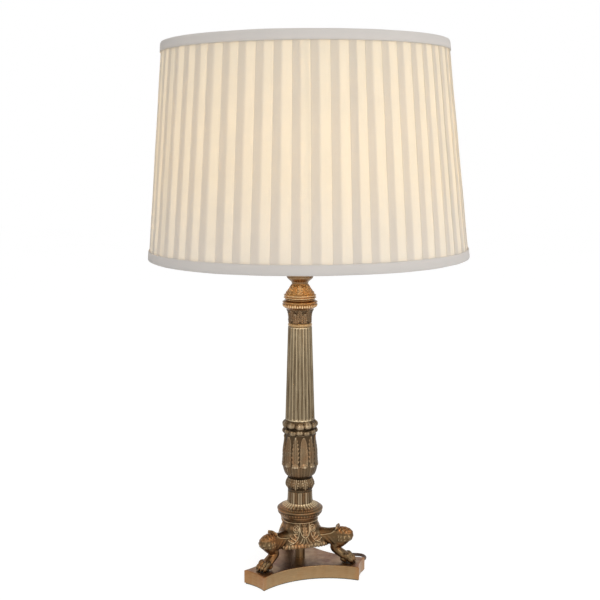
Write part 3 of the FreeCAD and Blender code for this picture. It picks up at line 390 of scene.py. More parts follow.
def moulded(name, levels, roughness, metallic=0.0, wear=0.15):
    """A plain hard surface with a fine grain and slight changes of colour."""
    t = Tree(name)
    colour = tone(*levels)
    shades = t.between(t.noise(0.012, 3.0), 0.35, 0.65)
    darker = tuple(c * (1 - wear) for c in colour)
    shaded = t.mix(shades, colour, darker)
    bumped = t.bump(t.noise(0.0008, 2.0), 0.12, 0.0003)
    rough = t.between(t.noise(0.004, 3.0), 0.3, 0.7, roughness - 0.05, roughness + 0.08)
    return t.principled({"Base Color": shaded, "Metallic": metallic, "Roughness": rough, "Normal": bumped})


def felt_material():
    t = Tree("green_felt")
    fibres = t.noise(0.0012, 4.0, 0.75)
    colour = t.mix(t.between(fibres, 0.3, 0.7), (0.012, 0.030, 0.018), (0.030, 0.062, 0.040))
    bumped = t.bump(fibres, 0.6, 0.0008)
    return t.principled({"Base Color": colour, "Roughness": 0.95, "Normal": bumped, "Sheen Weight": 0.25})


def woven(t, thread, depth):
    """Bump of a plain weave wound round the shade's axis."""
    x, y, level = t.axes()
    middle = (BOTTOM_SHIFT + TOP_SHIFT) / 2 * MM
    radius = 0.19
    angle = t.math("ARCTAN2", y, t.math("SUBTRACT", x, middle))
    round_it = t.math("SINE", t.times(angle, TURN * radius / thread))
    upward = t.math("SINE", t.times(level, TURN / thread))
    slubs = t.noise(0.0012, 3.0, 0.6, scale=(1, 1, 0.12))
    height = t.math("ADD", t.times(round_it, upward), t.times(slubs, 1.4))
    return t.bump(height, 0.25, depth)


def shade_fabric(name, levels, passing, share, through, layered=False):
    """Thin cloth that lights up when the bulb is behind it. Cloth in several layers lets less light pass;
    layered cloth also gets painted light, cooler low down and dimmer near the top.
    """
    t = Tree(name)
    colour = tone(*levels)
    normal = woven(t, 0.0007, 0.00012)
    cloudy = t.between(t.noise(0.03, 3.0), 0.3, 0.7, 0.0, 0.35)
    tint = t.mix(cloudy, colour, tuple(c * 0.94 for c in colour))
    lit = t.mix(cloudy, passing, tuple(c * 0.95 for c in passing))
    if layered:
        lit = t.mix(t.kept("relief"), lit, tuple(c * s for c, s in zip(passing, (0.79, 0.81, 0.88))))
        # Painted light: the light passing is made cooler towards the bottom of the shade and dimmer towards
        # its top.
        _, _, level = t.axes()
        lit = t.mix(t.between(level, 0.53, 0.425), lit, (0.95, 0.99, 1.12), blend="MULTIPLY")
        lit = t.mix(t.between(level, 0.58, 0.69), lit, (0.90, 0.91, 0.92), blend="MULTIPLY")
    outside = t.add("BsdfDiffuse", {"Color": tint, "Normal": normal, "Roughness": 0.4}).outputs[0]
    inside = t.add("BsdfTranslucent", {"Color": lit, "Normal": normal}).outputs[0]
    cloth = t.blend(share, outside, inside)
    open_air = t.add("BsdfTransparent", {"Color": (through, through * 0.98, through * 0.95)}).outputs[0]
    shadow = t.add("LightPath").outputs["Is Shadow Ray"]
    return t.finish(t.blend(shadow, cloth, open_air))


def bulb_material():
    t = Tree("bulb_glass")
    hot = t.between(t.noise(0.02, 2.0), 0.3, 0.7, 0.9)
    colour = t.mix(hot, (1.0, 0.70, 0.42), (1.0, 0.78, 0.52))
    glow = t.add("Emission", {"Color": colour, "Strength": 3.0}).outputs[0]
    skin = t.add("BsdfPrincipled", {"Base Color": (0.9, 0.88, 0.84), "Roughness": 0.3}).outputs[0]
    return t.finish(t.add("AddShader", {0: glow, 1: skin}).outputs[0])


def cloth_cord():
    t = Tree("brown_flex")
    x, y, _ = t.axes()
    braid = 0.0016
    rows = t.math("SINE", t.times(t.math("ADD", x, y), TURN / braid))
    colour = t.mix(t.between(rows, -1, 1), tone(58, 38, 26), tone(84, 58, 40))
    return t.principled({"Base Color": colour, "Roughness": 0.55, "Normal": t.bump(rows, 0.25, 0.0002)})


# Display levels of each brass: its body, its warm patches, its dark colour for recesses and painted shade,
# and its bright colour for rubbed places and painted highlights.
OLIVE = antique_brass("column_brass", (116, 95, 68), (130, 94, 60), (56, 42, 26), (180, 156, 118), painted_side_shade=0.5)
# Painted warm light: the brass of the bell and bead ring is painted brighter and more orange for the bulb's
# light from above.
WARM_LIT_BRASS = antique_brass("warm_lit_brass", (192, 148, 96), (204, 136, 72), (92, 60, 30), (255, 232, 190),
                     roughness=0.22, fine=0.35, painted_side_shade=0.35)
CUP = antique_brass("cup_brass", (158, 130, 98), (160, 120, 80), (62, 46, 30), (200, 170, 130),
                    roughness=0.28, fine=0.5, painted_side_shade=0.4)
CHASED = antique_brass("chased_brass", (132, 111, 85), (142, 102, 68), (46, 35, 22), (226, 206, 172),
                       painted_side_shade=0.45)
AGED = antique_brass("aged_brass", (104, 86, 63), (122, 88, 58), (42, 32, 20), (200, 180, 148), painted_side_shade=0.35)
FOOT = antique_brass("foot_brass", (128, 107, 80), (168, 106, 56), (46, 34, 20), (220, 200, 162))
LEG = antique_brass("leg_brass", (108, 88, 62), (152, 96, 50), (44, 32, 19), (190, 166, 128))
SHAFT = antique_brass("shaft_brass", (206, 184, 148), (186, 154, 116), (62, 47, 30), (226, 206, 170),
                      brushed=(1, 1, 0.03), roughness=0.30, regions=darker_below, painted_side_shade=0.8)
SLAB = antique_brass("plinth_brass", (136, 110, 78), (140, 98, 56), (82, 60, 38), (184, 154, 114),
                     carved=False, brushed=(0.12, 0.12, 1.2), roughness=0.34, mottle=0.45,
                     regions=plinth_regions)
RING = antique_brass("ring_brass", (182, 152, 112), (164, 128, 86), (78, 56, 32), (230, 206, 164),
                     carved=False)
BRIGHT = moulded("plain_brass", (190, 160, 104), 0.25, metallic=1.0)
STEEL = moulded("zinc_steel", (168, 170, 172), 0.35, metallic=1.0)
CREAM = moulded("cream_plastic", (232, 222, 200), 0.35)
CERAMIC = moulded("white_ceramic", (236, 234, 228), 0.25)
TIN = moulded("bulb_metal", (190, 190, 186), 0.3, metallic=1.0)
WIRE = moulded("white_wire", (228, 226, 220), 0.4)
RUBBER = moulded("dark_rubber", (44, 34, 28), 0.6, wear=0.3)
PLASTIC = moulded("dark_plastic", (50, 36, 28), 0.35, wear=0.25)
PINS = moulded("plated_pins", (200, 190, 160), 0.22, metallic=1.0)
FELT = felt_material()
GLASS = bulb_material()
CORD = cloth_cord()
COVER = shade_fabric("pleated_fabric", (236, 230, 220), (0.87, 0.81, 0.68), 0.55, 0.90, layered=True)
LINING = shade_fabric("lining_fabric", (240, 236, 228), (0.88, 0.85, 0.76), 0.5, 0.86)
TRIM = shade_fabric("trim_tape", (222, 219, 216), (0.66, 0.60, 0.52), 0.3, 0.5)

NODE_MATERIALS = [(FELT, "felt_pad"), (SLAB, "plinth"), (RUBBER, "cord_grommet cord_tie"),
    (STEEL, "leg_screws base_washer base_nut"), (RING, "neck_ring"),
    (BRIGHT, "central_tube riser_tube holder_cap centre_contact screw_shell"), (OLIVE, "tube_sleeve"),
    (CREAM, "switch_bar holder_shell lower_shade_ring upper_shade_ring"), (CERAMIC, "holder_insert"),
    (TIN, "bulb_cap bulb_stem"), (GLASS, "bulb_glass"),
    (WIRE, "spider_hub spider_arms bottom_ring_wire top_ring_wire frame_ribs"), (CORD, "inner_flex"),
    (PLASTIC, "plug_body"), (PINS, "plug_pins")]


def dress(piece, material, slot, *nodes, body="root"):
    """Gives a piece its material and its place in the frame."""
    piece.data.materials.append(material)
    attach(piece, body)
    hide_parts(*nodes)
    return piece


for material, names in NODE_MATERIALS:
    for node_name in names.split():
        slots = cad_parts[node_name].data.materials
        slots.clear()
        slots.append(material)


# ---- camera ----
camera_data = bpy.data.cameras.new("camera")
camera = placed("camera", camera_data)
camera_data.lens = 64.7
camera_data.sensor_width = 36.0
camera.location = (0.0, -1.380, 0.5689)
camera.rotation_euler = (math.radians(81.62), 0.0, 0.0)
bpy.context.scene.camera = camera


# ---- cord ----
CORD_RADIUS = 2.2
EXIT = (55.1, 25.7, 5.5)
ROUTE = [
    EXIT, (62.8, 29.3, 4.6), (72.0, 27.3, 3.0), (81.1, 25.2, 2.35), (88.6, 30.6, 2.35), (89.6, 39.8, 2.35),
    (83.4, 46.6, 2.35), (72.0, 46.7, 2.35), (60.5, 53.5, 2.35), (51.5, 66.5, 2.35), (46.0, 84.0, 2.35),
    (38.0, 104.0, 3.1), (38.0, 118.6, 3.1),
]
TAIL = [(-25.05, 118.6, 8.05), (-25.05, 111.0, 8.05), (-21.55, 100.5, 13.55), (-12.05, 97.0, 17.05),
        (-3.55, 97.0, 17.05)]
COIL_CENTRE = (4.0, 123.0)
COIL_RIGHTS = [34.0, 29.05, 24.1, 19.15, 14.2, 9.25]
COIL_LOW, COIL_HIGH = 3.1, 8.05
HALF_TURN_POINTS = 8


def half_turn(middle, radius, back, low, high):
    """Control points of half a turn; back is the half behind the coil's middle, from right to left."""
    points = []
    part = math.pi / HALF_TURN_POINTS
    for number in range(HALF_TURN_POINTS):
        angle = part * (number + 0.5) + (0 if back else math.pi)
        reach = radius / math.cos(part / 2)
        level = low + (high - low) * (number + 0.5) / HALF_TURN_POINTS
        points.append((COIL_CENTRE[0] + middle + reach * math.cos(angle),
                       COIL_CENTRE[1] + reach * math.sin(angle), level))
    return points


def coil_points():
    points = []
    for right, following in zip(COIL_RIGHTS, COIL_RIGHTS[1:]):
        points += half_turn(0, right, True, COIL_LOW, COIL_LOW)
        points += half_turn((following - right) / 2, (right + following) / 2, False, COIL_LOW, COIL_LOW)
    points += half_turn(0, COIL_RIGHTS[-1], True, COIL_LOW, COIL_HIGH)
    outward = COIL_RIGHTS[:0:-1]
    for right, following in zip(outward, outward[1:]):
        points += half_turn((following - right) / 2, (right + following) / 2, False, COIL_HIGH, COIL_HIGH)
        points += half_turn(0, following, True, COIL_HIGH, COIL_HIGH)
    return points


def cord_curve():
    curve = bpy.data.curves.new("mains_cord", "CURVE")
    curve.dimensions = "3D"
    curve.bevel_depth = CORD_RADIUS * MM
    curve.bevel_resolution = 5
    curve.resolution_u = 8
    curve.use_fill_caps = True
    spline = curve.splines.new("NURBS")
    points = ROUTE + coil_points() + TAIL
    spline.points.add(len(points) - 1)
    for point, place in zip(spline.points, points):
        point.co = (*[value * MM for value in place], 1.0)
    spline.order_u = 3
    spline.use_endpoint_u = True
    return placed("mains_cord", curve)


cord = dress(cord_curve(), CORD, "brown_flex", "cord_run", "cord_coil", "cord_tail")


# ---- floor, backdrop and lamps ----
def seen_rays(t):
    """1 for the rays that show the background: the camera's, and those in metal and glass."""
    path = t.add("LightPath")
    seen = t.math("MAXIMUM", path.outputs["Is Camera Ray"], path.outputs["Is Glossy Ray"])
    return t.math("MAXIMUM", seen, path.outputs["Is Transmission Ray"])


def floor_material():
    t = Tree("floor")
    worn = t.between(t.noise(0.4, 2.0), 0.3, 0.7)
    colour = t.mix(worn, (0.93, 0.93, 0.93), (0.90, 0.90, 0.90))
    matt = t.add("BsdfDiffuse", {"Color": colour}).outputs[0]
    white = t.add("Emission", {"Color": (1.0, 1.0, 1.0), "Strength": 1.14}).outputs[0]
    return t.finish(t.blend(t.times(seen_rays(t), 0.75), matt, white))


def make_floor():
    radius = 6.0
    count = 64
    rim = ring_points(radius, np.arange(count) * TURN / count, 0.0)
    mesh = bpy.data.meshes.new("floor")
    mesh.from_pydata(rim.tolist(), [], [list(range(count))])
    mesh.materials.append(floor_material())
    placed("floor", mesh)


def make_world():
    t = Tree("world", "worlds")
    strength = t.between(seen_rays(t), 0.0, 1.0, 0.62)
    sky = t.add("Background", {"Color": (1.0, 1.0, 1.0), "Strength": strength}).outputs[0]
    bpy.context.scene.world = t.finish(sky, "OutputWorld")


LIT_POINT = Vector((0.0, 0.0, 0.3))


def area_light(name, place, size, power):
    """A soft white lamp that faces the column."""
    data = bpy.data.lights.new(name, "AREA")
    data.shape = "RECTANGLE"
    data.size, data.size_y = size
    data.energy = power
    light = placed(name, data)
    light.location = place
    light.rotation_euler = (LIT_POINT - Vector(place)).to_track_quat("-Z", "Y").to_euler()
    light.visible_camera = False


make_floor()
make_world()
area_light("front_light", (0.55, -2.2, 1.5), (0.9, 1.2), 20.0)
area_light("side_light", (2.0, -0.9, 1.2), (0.7, 1.0), 8.0)
area_light("left_light", (-1.9, -1.3, 1.1), (0.5, 1.0), 4.0)

bulb_data = bpy.data.lights.new("bulb_light", "POINT")
bulb_data.energy = 8.5
bulb_data.color = (0.97, 0.68, 0.41)
bulb_data.shadow_soft_size = 0.031
bulb_light = placed("bulb_light", bulb_data)
bulb_light.location = (0.0, 0.0, 0.5552)
bulb_light.visible_camera = False
bpy.context.scene.view_settings.view_transform = "Standard"


# ---- column ornaments ----
def cup_relief(angle, level, radius):
    return 0.35 * (reeds(angle, 24) - 0.5) * bump(level, 391.0, 2.2)


def bell_relief(angle, level, radius):
    """Low leaves that narrow towards the neck, above two plain moulded rings."""
    field = step(374.6, 376.0, level) * step(387.4, 386.2, level)
    up = (level - 375.0) / 11.5
    leaf, _ = repeat(angle, 7, math.radians(-90))
    rear, _ = repeat(angle, 7, math.radians(-64))
    shape = np.maximum(chased_leaf(leaf * radius, up / 1.05, 5.2, 4.0),
                       0.7 * chased_leaf(rear * radius, up / 0.9, 4.2, 4.0))
    fine = wave(44 * angle + 7 * np.sin(up * 5))
    rings = bump(level, 369.4, 0.7) + bump(level, 372.3, 0.7)
    return field * (0.75 * shape - 0.35 + 0.18 * fine) + 0.45 * rings


def bead_relief(angle, level, radius):
    """A row of small uneven beads round the lower half, under a plain swelling."""
    across, number = within(angle, 44)
    along = (level - 359.2 - 0.3 * np.sin(number * 2.7)) / (2.3 + 0.35 * np.sin(number * 4.1))
    ball = dome(across * math.sqrt(1.15), along)
    return 0.85 * ball + 0.35 * bump(level, 363.6, 1.0) - 0.15


def capital_relief(angle, level, radius):
    """Two rows of small chased leaves on a punched ground."""
    up = (level - CAPITAL[0]) / (CAPITAL[1] - CAPITAL[0])
    front, number = repeat(angle, 8, math.radians(22.5))
    rear, _ = repeat(angle, 8)
    sway = 0.8 * np.sin(number * 2.9) * (up - 0.3)
    low = chased_leaf(front * radius + sway, (up - 0.02) / 0.74, 6.4, 4.5)
    high = 0.85 * chased_leaf(rear * radius - sway, (up - 0.16) / 0.86, 6.2, 5.5)
    crimp = wave(36 * angle + 6 * np.sin(9 * up) + 2 * np.sin(5 * angle))
    ground = 0.14 * stipple(angle, level, radius, 1.3) + 0.34 * crimp
    tips = 0.5 * bump(up, 0.68, 0.08) * (low > 0.2) + 0.35 * bump(up, 0.97, 0.06)
    knobs, _ = repeat(angle, 9, math.radians(-97))
    knob = dome(knobs * radius / 1.5, (level - 340.6) / 1.7)
    return np.maximum(1.15 * np.maximum(low, high), 1.3 * knob) + ground + tips - 0.65


def wreath(angle, level, count, turn, middle, height):
    """Turned-over leaf tips of uneven size, each with its own folds."""
    across, number = within(angle, count, turn)
    across = across + 0.22 * np.sin(number * 5.1 + 1.0)
    along = (level - middle - 0.8 * np.sin(number * 3.7)) / (height * (1.0 + 0.18 * np.sin(number * 2.4)))
    body = dome(np.abs(across) ** 1.1, along)
    folds = wave(across * 7.5 + 1.6 * along * across + number)
    curl = bump(along, -0.55, 0.35)
    return body * (0.72 + 0.30 * folds * (1 - 0.6 * curl) + 0.28 * curl)


def collar_relief(angle, level, radius):
    """Two wreaths of turned-over leaf tips with a hollow between them."""
    one = wreath(angle, level, 11, 0.1, 202.4, 5.4)
    two = 0.9 * wreath(angle, level, 13, 0.35, 193.4, 3.8)
    ground = 0.22 * stipple(angle, level, radius, 1.5)
    return 1.75 * np.maximum(one, two) + ground - 0.75 - 0.6 * bump(level, 197.6, 0.9)


def calyx_relief(angle, level, radius):
    """Six smooth leaves and six lobed ones standing on a reeded basket."""
    plain, _ = repeat(angle, 6, math.radians(-76))
    lobed, _ = repeat(angle, 6, math.radians(-46))
    smooth = plain_leaf(plain * radius, (level - 148.0) / 40.0, 6.4, 3.0)
    cut = chased_leaf(lobed * radius, (level - 146.0) / 43.5, 6.6, 7.5)
    side = np.abs(plain * radius)
    fine = wave(TURN * (level * 0.42 - 0.5 * side))
    smooth = smooth * (0.86 + 0.26 * fine * step(1.2, 2.4, side))
    buds, _ = repeat(angle, 12, math.radians(-76))
    ball = dome(buds * radius / 5.0, (level - 149.5) / 3.6)
    basket = step(150.0, 147.5, level) * step(131.0, 134.0, level)
    uneven = 0.75 + 0.25 * np.sin(13 * angle + 1.0) * np.sin(5 * angle)
    reed = reeds(angle, 34) * basket * uneven
    ground = step(151.0, 154.0, level) * 0.18 * stipple(angle, level, radius, 1.5)
    curl = 0.6 * bump(level, 186.6, 2.2) * (np.maximum(smooth, cut) > 0.15)
    leaves = np.maximum(1.35 * np.maximum(smooth, 1.15 * cut), 1.5 * ball)
    return leaves + 0.9 * reed + ground + curl - 0.8


def knop_relief(angle, level, radius):
    """A wreath of short leaves lying over a swelling band, with a beaded foot."""
    up = (level - KNOP[0]) / (KNOP[1] - KNOP[0])
    front, number = repeat(angle, 9, math.radians(-68))
    rear, _ = repeat(angle, 9, math.radians(-48))
    tilt = 1.1 * np.sin(number * 2.3) * (up - 0.5)
    leaf = np.maximum(chased_leaf(front * radius + tilt, (1.0 - up) / 0.86, 6.0, 4.5),
                      0.75 * chased_leaf(rear * radius - tilt, (1.0 - up) / 0.66, 5.0, 4.0))
    veins = 0.20 * wave(38 * angle + 9 * up) * (leaf > 0.1)
    foot = bump(level, 113.7, 0.9) * reeds(angle, 48)
    return 1.3 * leaf + veins + 0.5 * foot + 0.15 * stipple(angle, level, radius, 1.4) - 0.6


def drum_relief(angle, level, radius):
    return reeds(angle, 30) * (0.8 + 0.2 * np.sin(11 * angle)) * step(111.9, 110.6, level) - 0.6


def dish_relief(angle, level, radius):
    """Reeds on the upper slope, a beaded line and a plain rim, then small arches above two mouldings."""
    upper = reeds(angle, 30) * step(90.4, 91.8, level)
    row = bump(level, 90.0, 0.7) * reeds(angle, 60)
    rim = bump(level, 87.2, 1.3)
    arch, _ = within(angle, 46)
    band = dome(arch * math.sqrt(1.3), (level - 82.4) / 1.8)
    lines = bump(level, 79.4, 0.7) + 0.8 * bump(level, 76.8, 0.6)
    return 0.8 * upper + 0.5 * row + 0.4 * rim + 0.45 * band + 0.7 * lines - 0.3


def flute_relief(angle, level, radius):
    """Round flutes with narrow fillets between them; their ends are round."""
    flute_share = 0.84
    depth = 1.55
    across = within(angle, 22)[0] / flute_share
    ends = step(208.6, 210.8, level - 0.9 * across ** 2) * step(331.2, 329.4, level + 0.9 * across ** 2)
    return -depth * dome(across) * ends


def cast(node_name, material, name, relief, outline, **grid):
    """Makes and dresses a turned casting in place of this node."""
    dress(turned(name, outline, relief, **grid), material, "antique_brass", node_name)


cast("fluted_shaft", SHAFT, "shaft_flutes", flute_relief, [(208.0, 19.4), (249.0, 18.1), (290.0, 16.9),
    (331.4, 15.6)], rows=130, around=880)
CUP_INNER = [(399.4, CUP_WELL + 0.3), (399.1, CUP_WELL), (CUP_FLOOR, CUP_WELL), (CUP_FLOOR, BORE),
    (387.4, BORE)]
cast("candle_cup", CUP, "candle_cup_rim", cup_relief, [(387.4, 10.2), (388.6, 10.9), (389.6, 11.0),
    (390.6, 11.9), (392.2, 13.9), (393.8, 15.8), (395.2, 16.9), (396.2, 17.2), (396.7, 16.9), (397.3, 17.4),
    (398.2, 17.8), (399.0, 17.7), (399.4, 17.2)], rows=70, inner=CUP_INNER)
cast("reeded_bell", WARM_LIT_BRASS, "reeded_bell_cast", bell_relief, [(366.4, 19.2), (367.0, 19.3), (367.9, 19.6),
    (368.6, 20.2), (369.4, 20.7), (370.3, 20.5), (370.8, 20.0), (371.3, 20.1), (372.2, 20.6), (373.2, 20.3),
    (373.9, 19.4), (374.5, 18.9), (375.5, 18.3), (378.0, 16.2), (381.0, 14.0), (384.0, 12.3), (386.2, 11.0),
    (387.4, 10.5)], rows=120)
cast("bead_ring", WARM_LIT_BRASS, "bead_ring_cast", bead_relief, [(354.4, 17.6), (355.0, 18.2), (356.0, 19.5),
    (357.5, 20.9), (359.0, 21.8), (361.0, 22.2), (362.6, 22.2), (363.6, 22.6), (364.4, 22.4), (365.2, 21.4),
    (365.8, 20.4), (366.4, 19.4)], around=720)
cast("leaf_capital", CHASED, "capital_leaves", capital_relief, [(336.4, 15.0), (338.5, 14.8), (342.0, 14.7),
    (346.0, 15.0), (349.5, 15.7), (352.5, 16.6), (354.4, 17.4)], rows=130, around=640)
cast("leaf_collar", AGED, "collar_wreaths", collar_relief, [(189.4, 20.9), (190.4, 21.4), (191.6, 22.2),
    (193.4, 22.7), (195.2, 22.3), (196.6, 21.4), (197.6, 20.9), (198.8, 21.7), (200.6, 22.6), (202.6, 22.5),
    (204.4, 21.4), (206.0, 20.1), (207.2, 19.6), (208.0, 19.5)], rows=150, around=640)
cast("leaf_calyx", CHASED, "calyx_leaves", calyx_relief, [(129.4, 15.9), (131.0, 16.8), (134.0, 19.4),
    (138.0, 21.3), (143.0, 22.7), (148.5, 23.4), (153.0, 23.1), (158.0, 22.8), (166.0, 22.6), (173.0, 21.8),
    (181.0, 20.9), (186.0, 20.7), (189.4, 20.9)], rows=180, around=660)
cast("lower_knop", AGED, "knop_leaves", knop_relief, [(112.4, 16.1), (113.6, 16.5), (114.6, 16.5),
    (115.6, 17.4), (117.2, 18.4), (119.4, 18.8), (122.0, 18.5), (125.0, 17.4), (127.6, 16.2),
    (129.4, 15.5)], rows=110, around=640)
cast("reeded_drum", AGED, "drum_reeds", drum_relief, [(96.0, 16.8), (100.0, 16.4), (105.0, 16.1),
    (109.0, 16.0), (111.0, 16.1), (112.4, 16.2)], rows=60, around=600)
cast("collar_dish", FOOT, "dish_cast", dish_relief, [(73.5, 23.0), (74.3, 23.4), (75.1, 23.0), (75.9, 23.3),
    (77.2, 24.6), (78.9, 26.3), (80.4, 27.7), (81.4, 28.6), (83.2, 29.5), (84.8, 29.8), (86.2, 30.2),
    (87.6, 30.1), (88.5, 29.2), (89.1, 28.2), (89.9, 27.0), (90.7, 25.2), (91.8, 22.2), (93.2, 19.2),
    (94.8, 17.6), (96.0, 17.1)], rows=165, around=720)


# ---- foot ----
SKIRT_ROWS = 120
SKIRT_AROUND = 960
SKIRT_CEILING = 43.0
TOOTH = 4.2


def lobed_radius(angle, share):
    """Radius of the three-sided skirt: it reaches out towards the legs at its foot."""
    lobe = np.interp(share, [0, 0.2, 0.42, 0.55, 0.75, 1], [40.0, 37.0, 33.0, 30.0, 24.8, 23.0])
    side = np.interp(share, [0, 0.2, 0.42, 0.62, 0.80, 1], [28.8, 28.2, 27.0, 25.0, 22.6, 22.8])
    sharp = wave(3 * (angle - LEG_ANGLES[0])) ** 1.6
    return side + (lobe - side) * sharp


def skirt_ornament(across, up):
    """Chasing of one side of the skirt: a shield, scrolls beside it and leaves towards the legs."""
    shield = [(-6.4, 31.0), (-6.8, 26.5), (-5.8, 20.0), (-3.2, 14.8), (0.0, 13.2)]
    shield = shield + [(-x, y) for x, y in shield[-2::-1]]
    height = ridge(across, up, smooth_line(shield, 80), 0.8)
    height = np.maximum(height, 0.8 * chased_leaf(across, (up - 14.6) / 16.4, 4.6, 4.0))
    side = np.abs(across)
    stem = smooth_line([(10.6, 28.4), (8.2, 27.0), (7.6, 21.0), (9.0, 14.5), (13.0, 8.5), (19.5, 5.6)], 70)
    for line in (spiral((11.6, 23.4), 4.6, 100, -1.6), stem):
        height = np.maximum(height, 0.95 * ridge(side, up, line, 0.85))
    leaves = (((9.5, 13.0), (15.0, 18.0)), ((11.5, 10.0), (19.0, 14.5)), ((14.5, 7.5), (23.5, 11.5)),
              ((1.0, 11.5), (3.0, 5.0)), ((3.5, 12.0), (7.5, 5.6)))
    for root, tip in leaves:
        vein = smooth_line([root, ((root[0] + tip[0]) / 2, (root[1] + tip[1]) / 2 - 0.9), tip], 24)
        height = np.maximum(height, 0.8 * ridge(side, up, vein, 1.05))
    around = np.arctan2(up - 15.0, side)
    away = np.hypot(up - 15.0, side)
    fronds = wave(15 * around + 0.25 * away) * step(8.5, 11.0, away) * step(0.0, 3.0, side)
    height = np.maximum(height, 0.42 * fronds * (0.7 + 0.3 * np.cos(0.9 * away)))
    tooth = across / TOOTH + 0.12 * np.sin(across * 0.9)
    fringe = dome(np.mod(tooth + 0.5, 1) * 2 - 1) * bump(up, 2.2 + 0.6 * np.sin(across), 2.3)
    return np.maximum(height, 0.8 * fringe)


def make_skirt():
    angle = np.arange(SKIRT_AROUND) * TURN / SKIRT_AROUND
    share = np.linspace(0, 1, SKIRT_ROWS)[:, None]
    radius = lobed_radius(angle[None, :], share)
    inside, _ = repeat(angle, 3, LEG_ANGLES[0] + math.pi / 3)
    across = inside[None, :] * (radius * 0.6 + 10.0)
    up = share * (SKIRT[1] - SKIRT[0])
    height = skirt_ornament(across, up) + 0.10 * stipple(angle[None, :], up, radius, 1.6)
    height = np.maximum(height, 0.9 * bump(up, 31.4, 0.8))
    drop = 0.9 * np.abs(np.cos(math.pi * across / TOOTH)) * bump(up, 0.0, 1.0)
    outer = ring_points(radius + 1.35 * height - 0.3, angle, SKIRT[0] + up - drop)
    foot = lobed_radius(angle, 0.0)
    inner = [ring_points(BORE, angle, SKIRT[1]), ring_points(BORE, angle, SKIRT_CEILING),
             ring_points(foot - 5.0, angle, SKIRT_CEILING), ring_points(foot - 2.6, angle, SKIRT[0] + 0.2)]
    points = np.concatenate([outer, inner], axis=0)
    relief = np.zeros(points.shape[:2])
    relief[:SKIRT_ROWS] = height / height.max()
    return grid_object("skirt_scrolls", points, True, relief)


# One leg lies along +X: each row is reach, level, slope in degrees, half depth and half width of an oval.
HAUNCH_SECTIONS = [
    (20.0, 52.0, 4, 11.0, 11.5), (30.0, 52.0, 2, 10.4, 9.8), (38.0, 51.6, 0, 10.6, 8.9),
    (45.0, 51.2, 0, 12.2, 8.8), (51.5, 50.8, -4, 14.2, 9.1), (58.0, 50.8, -10, 14.8, 9.4),
    (64.0, 51.4, -16, 12.4, 8.9), (68.4, 52.0, -20, 8.6, 7.2), (71.6, 52.2, -22, 3.4, 3.4),
]
SHIN_SECTIONS = [
    (54.5, 46.0, -104, 7.0, 7.6), (50.6, 40.6, -90, 8.2, 7.6), (48.8, 36.6, -66, 7.4, 7.1),
    (50.6, 33.4, -48, 6.4, 6.8), (54.2, 30.6, -38, 5.8, 7.1), (58.6, 27.8, -32, 5.6, 7.8),
    (63.0, 25.6, -24, 5.4, 8.2), (66.5, 24.4, -16, 4.8, 8.0),
]
TOE_SPREAD = (-6.3, -2.1, 2.1, 6.3)
CUFF = [(51.8, 68.0), (49.8, 62.6), (45.4, 58.4), (38.0, 56.0), (29.0, 54.4)]


def add_limb(builder, sections, rows=70, around=56):
    """Adds a closed skin through oval sections."""
    theta = np.arange(around) * TURN / around
    rings = []
    for reach, level, slope, depth, width in smooth_line(sections, rows):
        tilt = math.radians(slope)
        place = zip(reach - depth * np.sin(theta) * math.sin(tilt), width * np.cos(theta),
                    level + depth * np.sin(theta) * math.cos(tilt))
        rings.append([builder.verts.new(point) for point in place])
    for ring, following in zip(rings, rings[1:]):
        for number in range(around):
            beyond = (number + 1) % around
            builder.faces.new((ring[number], ring[beyond], following[beyond], following[number]))
    builder.faces.new(rings[0][::-1])
    builder.faces.new(rings[-1])


def add_ball(builder, centre, size, nod, splay=0.0):
    """Adds an ellipsoid with the given half sizes, tipped forward by nod and turned by splay, in degrees."""
    rotation = Matrix.Rotation(math.radians(splay), 4, "Z") @ Matrix.Rotation(math.radians(nod), 4, "Y")
    place = Matrix.Translation(centre) @ rotation @ Matrix.Diagonal((*size, 1.0))
    bmesh.ops.create_icosphere(builder, subdivisions=3, radius=1.0, matrix=place)


def leg_shape():
    """The leg as overlapping limbs and rounds, ready to be merged into one skin."""
    builder = bmesh.new()
    add_limb(builder, HAUNCH_SECTIONS)
    add_limb(builder, SHIN_SECTIONS)
    for side in TOE_SPREAD:
        back = 1.7 * (abs(side) / TOE_SPREAD[-1]) ** 2
        splay = side * 1.6
        add_ball(builder, (66.2 - back, side, 26.2), (5.6, 2.7, 5.0), 24, splay)
        add_ball(builder, (71.6 - back, side * 1.04, 22.6), (4.6, 2.65, 4.1), 28, splay)
        add_ball(builder, (75.2 - back, side * 1.06, 20.1), (1.4, 1.0, 1.3), 50, splay)
    for side in (-1, 1):
        add_ball(builder, (60.5, side * 5.6, 22.2), (5.0, 2.6, 3.2), 8, side * 6)
        add_ball(builder, (51.2, side * 5.6, 63.8), (2.4, 2.6, 3.0), 25)
    add_ball(builder, (50.8, 0, 65.9), (2.2, 4.6, 2.1), 20)
    mesh = bpy.data.meshes.new("leg_shape")
    builder.to_mesh(mesh)
    builder.free()
    return mesh


def merged(mesh, voxel, rounds):
    """The mesh as one skin, and its points smoothed."""
    made = placed("merging", mesh)
    remesh = made.modifiers.new("remesh", "REMESH")
    remesh.mode = "VOXEL"
    remesh.voxel_size = voxel
    relax = made.modifiers.new("relax", "SMOOTH")
    relax.factor = 0.5
    relax.iterations = rounds
    graph = bpy.context.evaluated_depsgraph_get()
    skin = bpy.data.meshes.new_from_object(made.evaluated_get(graph))
    bpy.data.objects.remove(made)
    return skin


def mesh_arrays(mesh):
    """Points, normals and faces of a mesh."""
    arrays = []
    for name in ("co", "normal"):
        values = np.empty(len(mesh.vertices) * 3, np.float32)
        mesh.vertices.foreach_get(name, values)
        arrays.append(values.reshape(-1, 3).astype(float))
    corners = np.array([tuple(polygon.vertices) for polygon in mesh.polygons], np.int32)
    return *arrays, corners


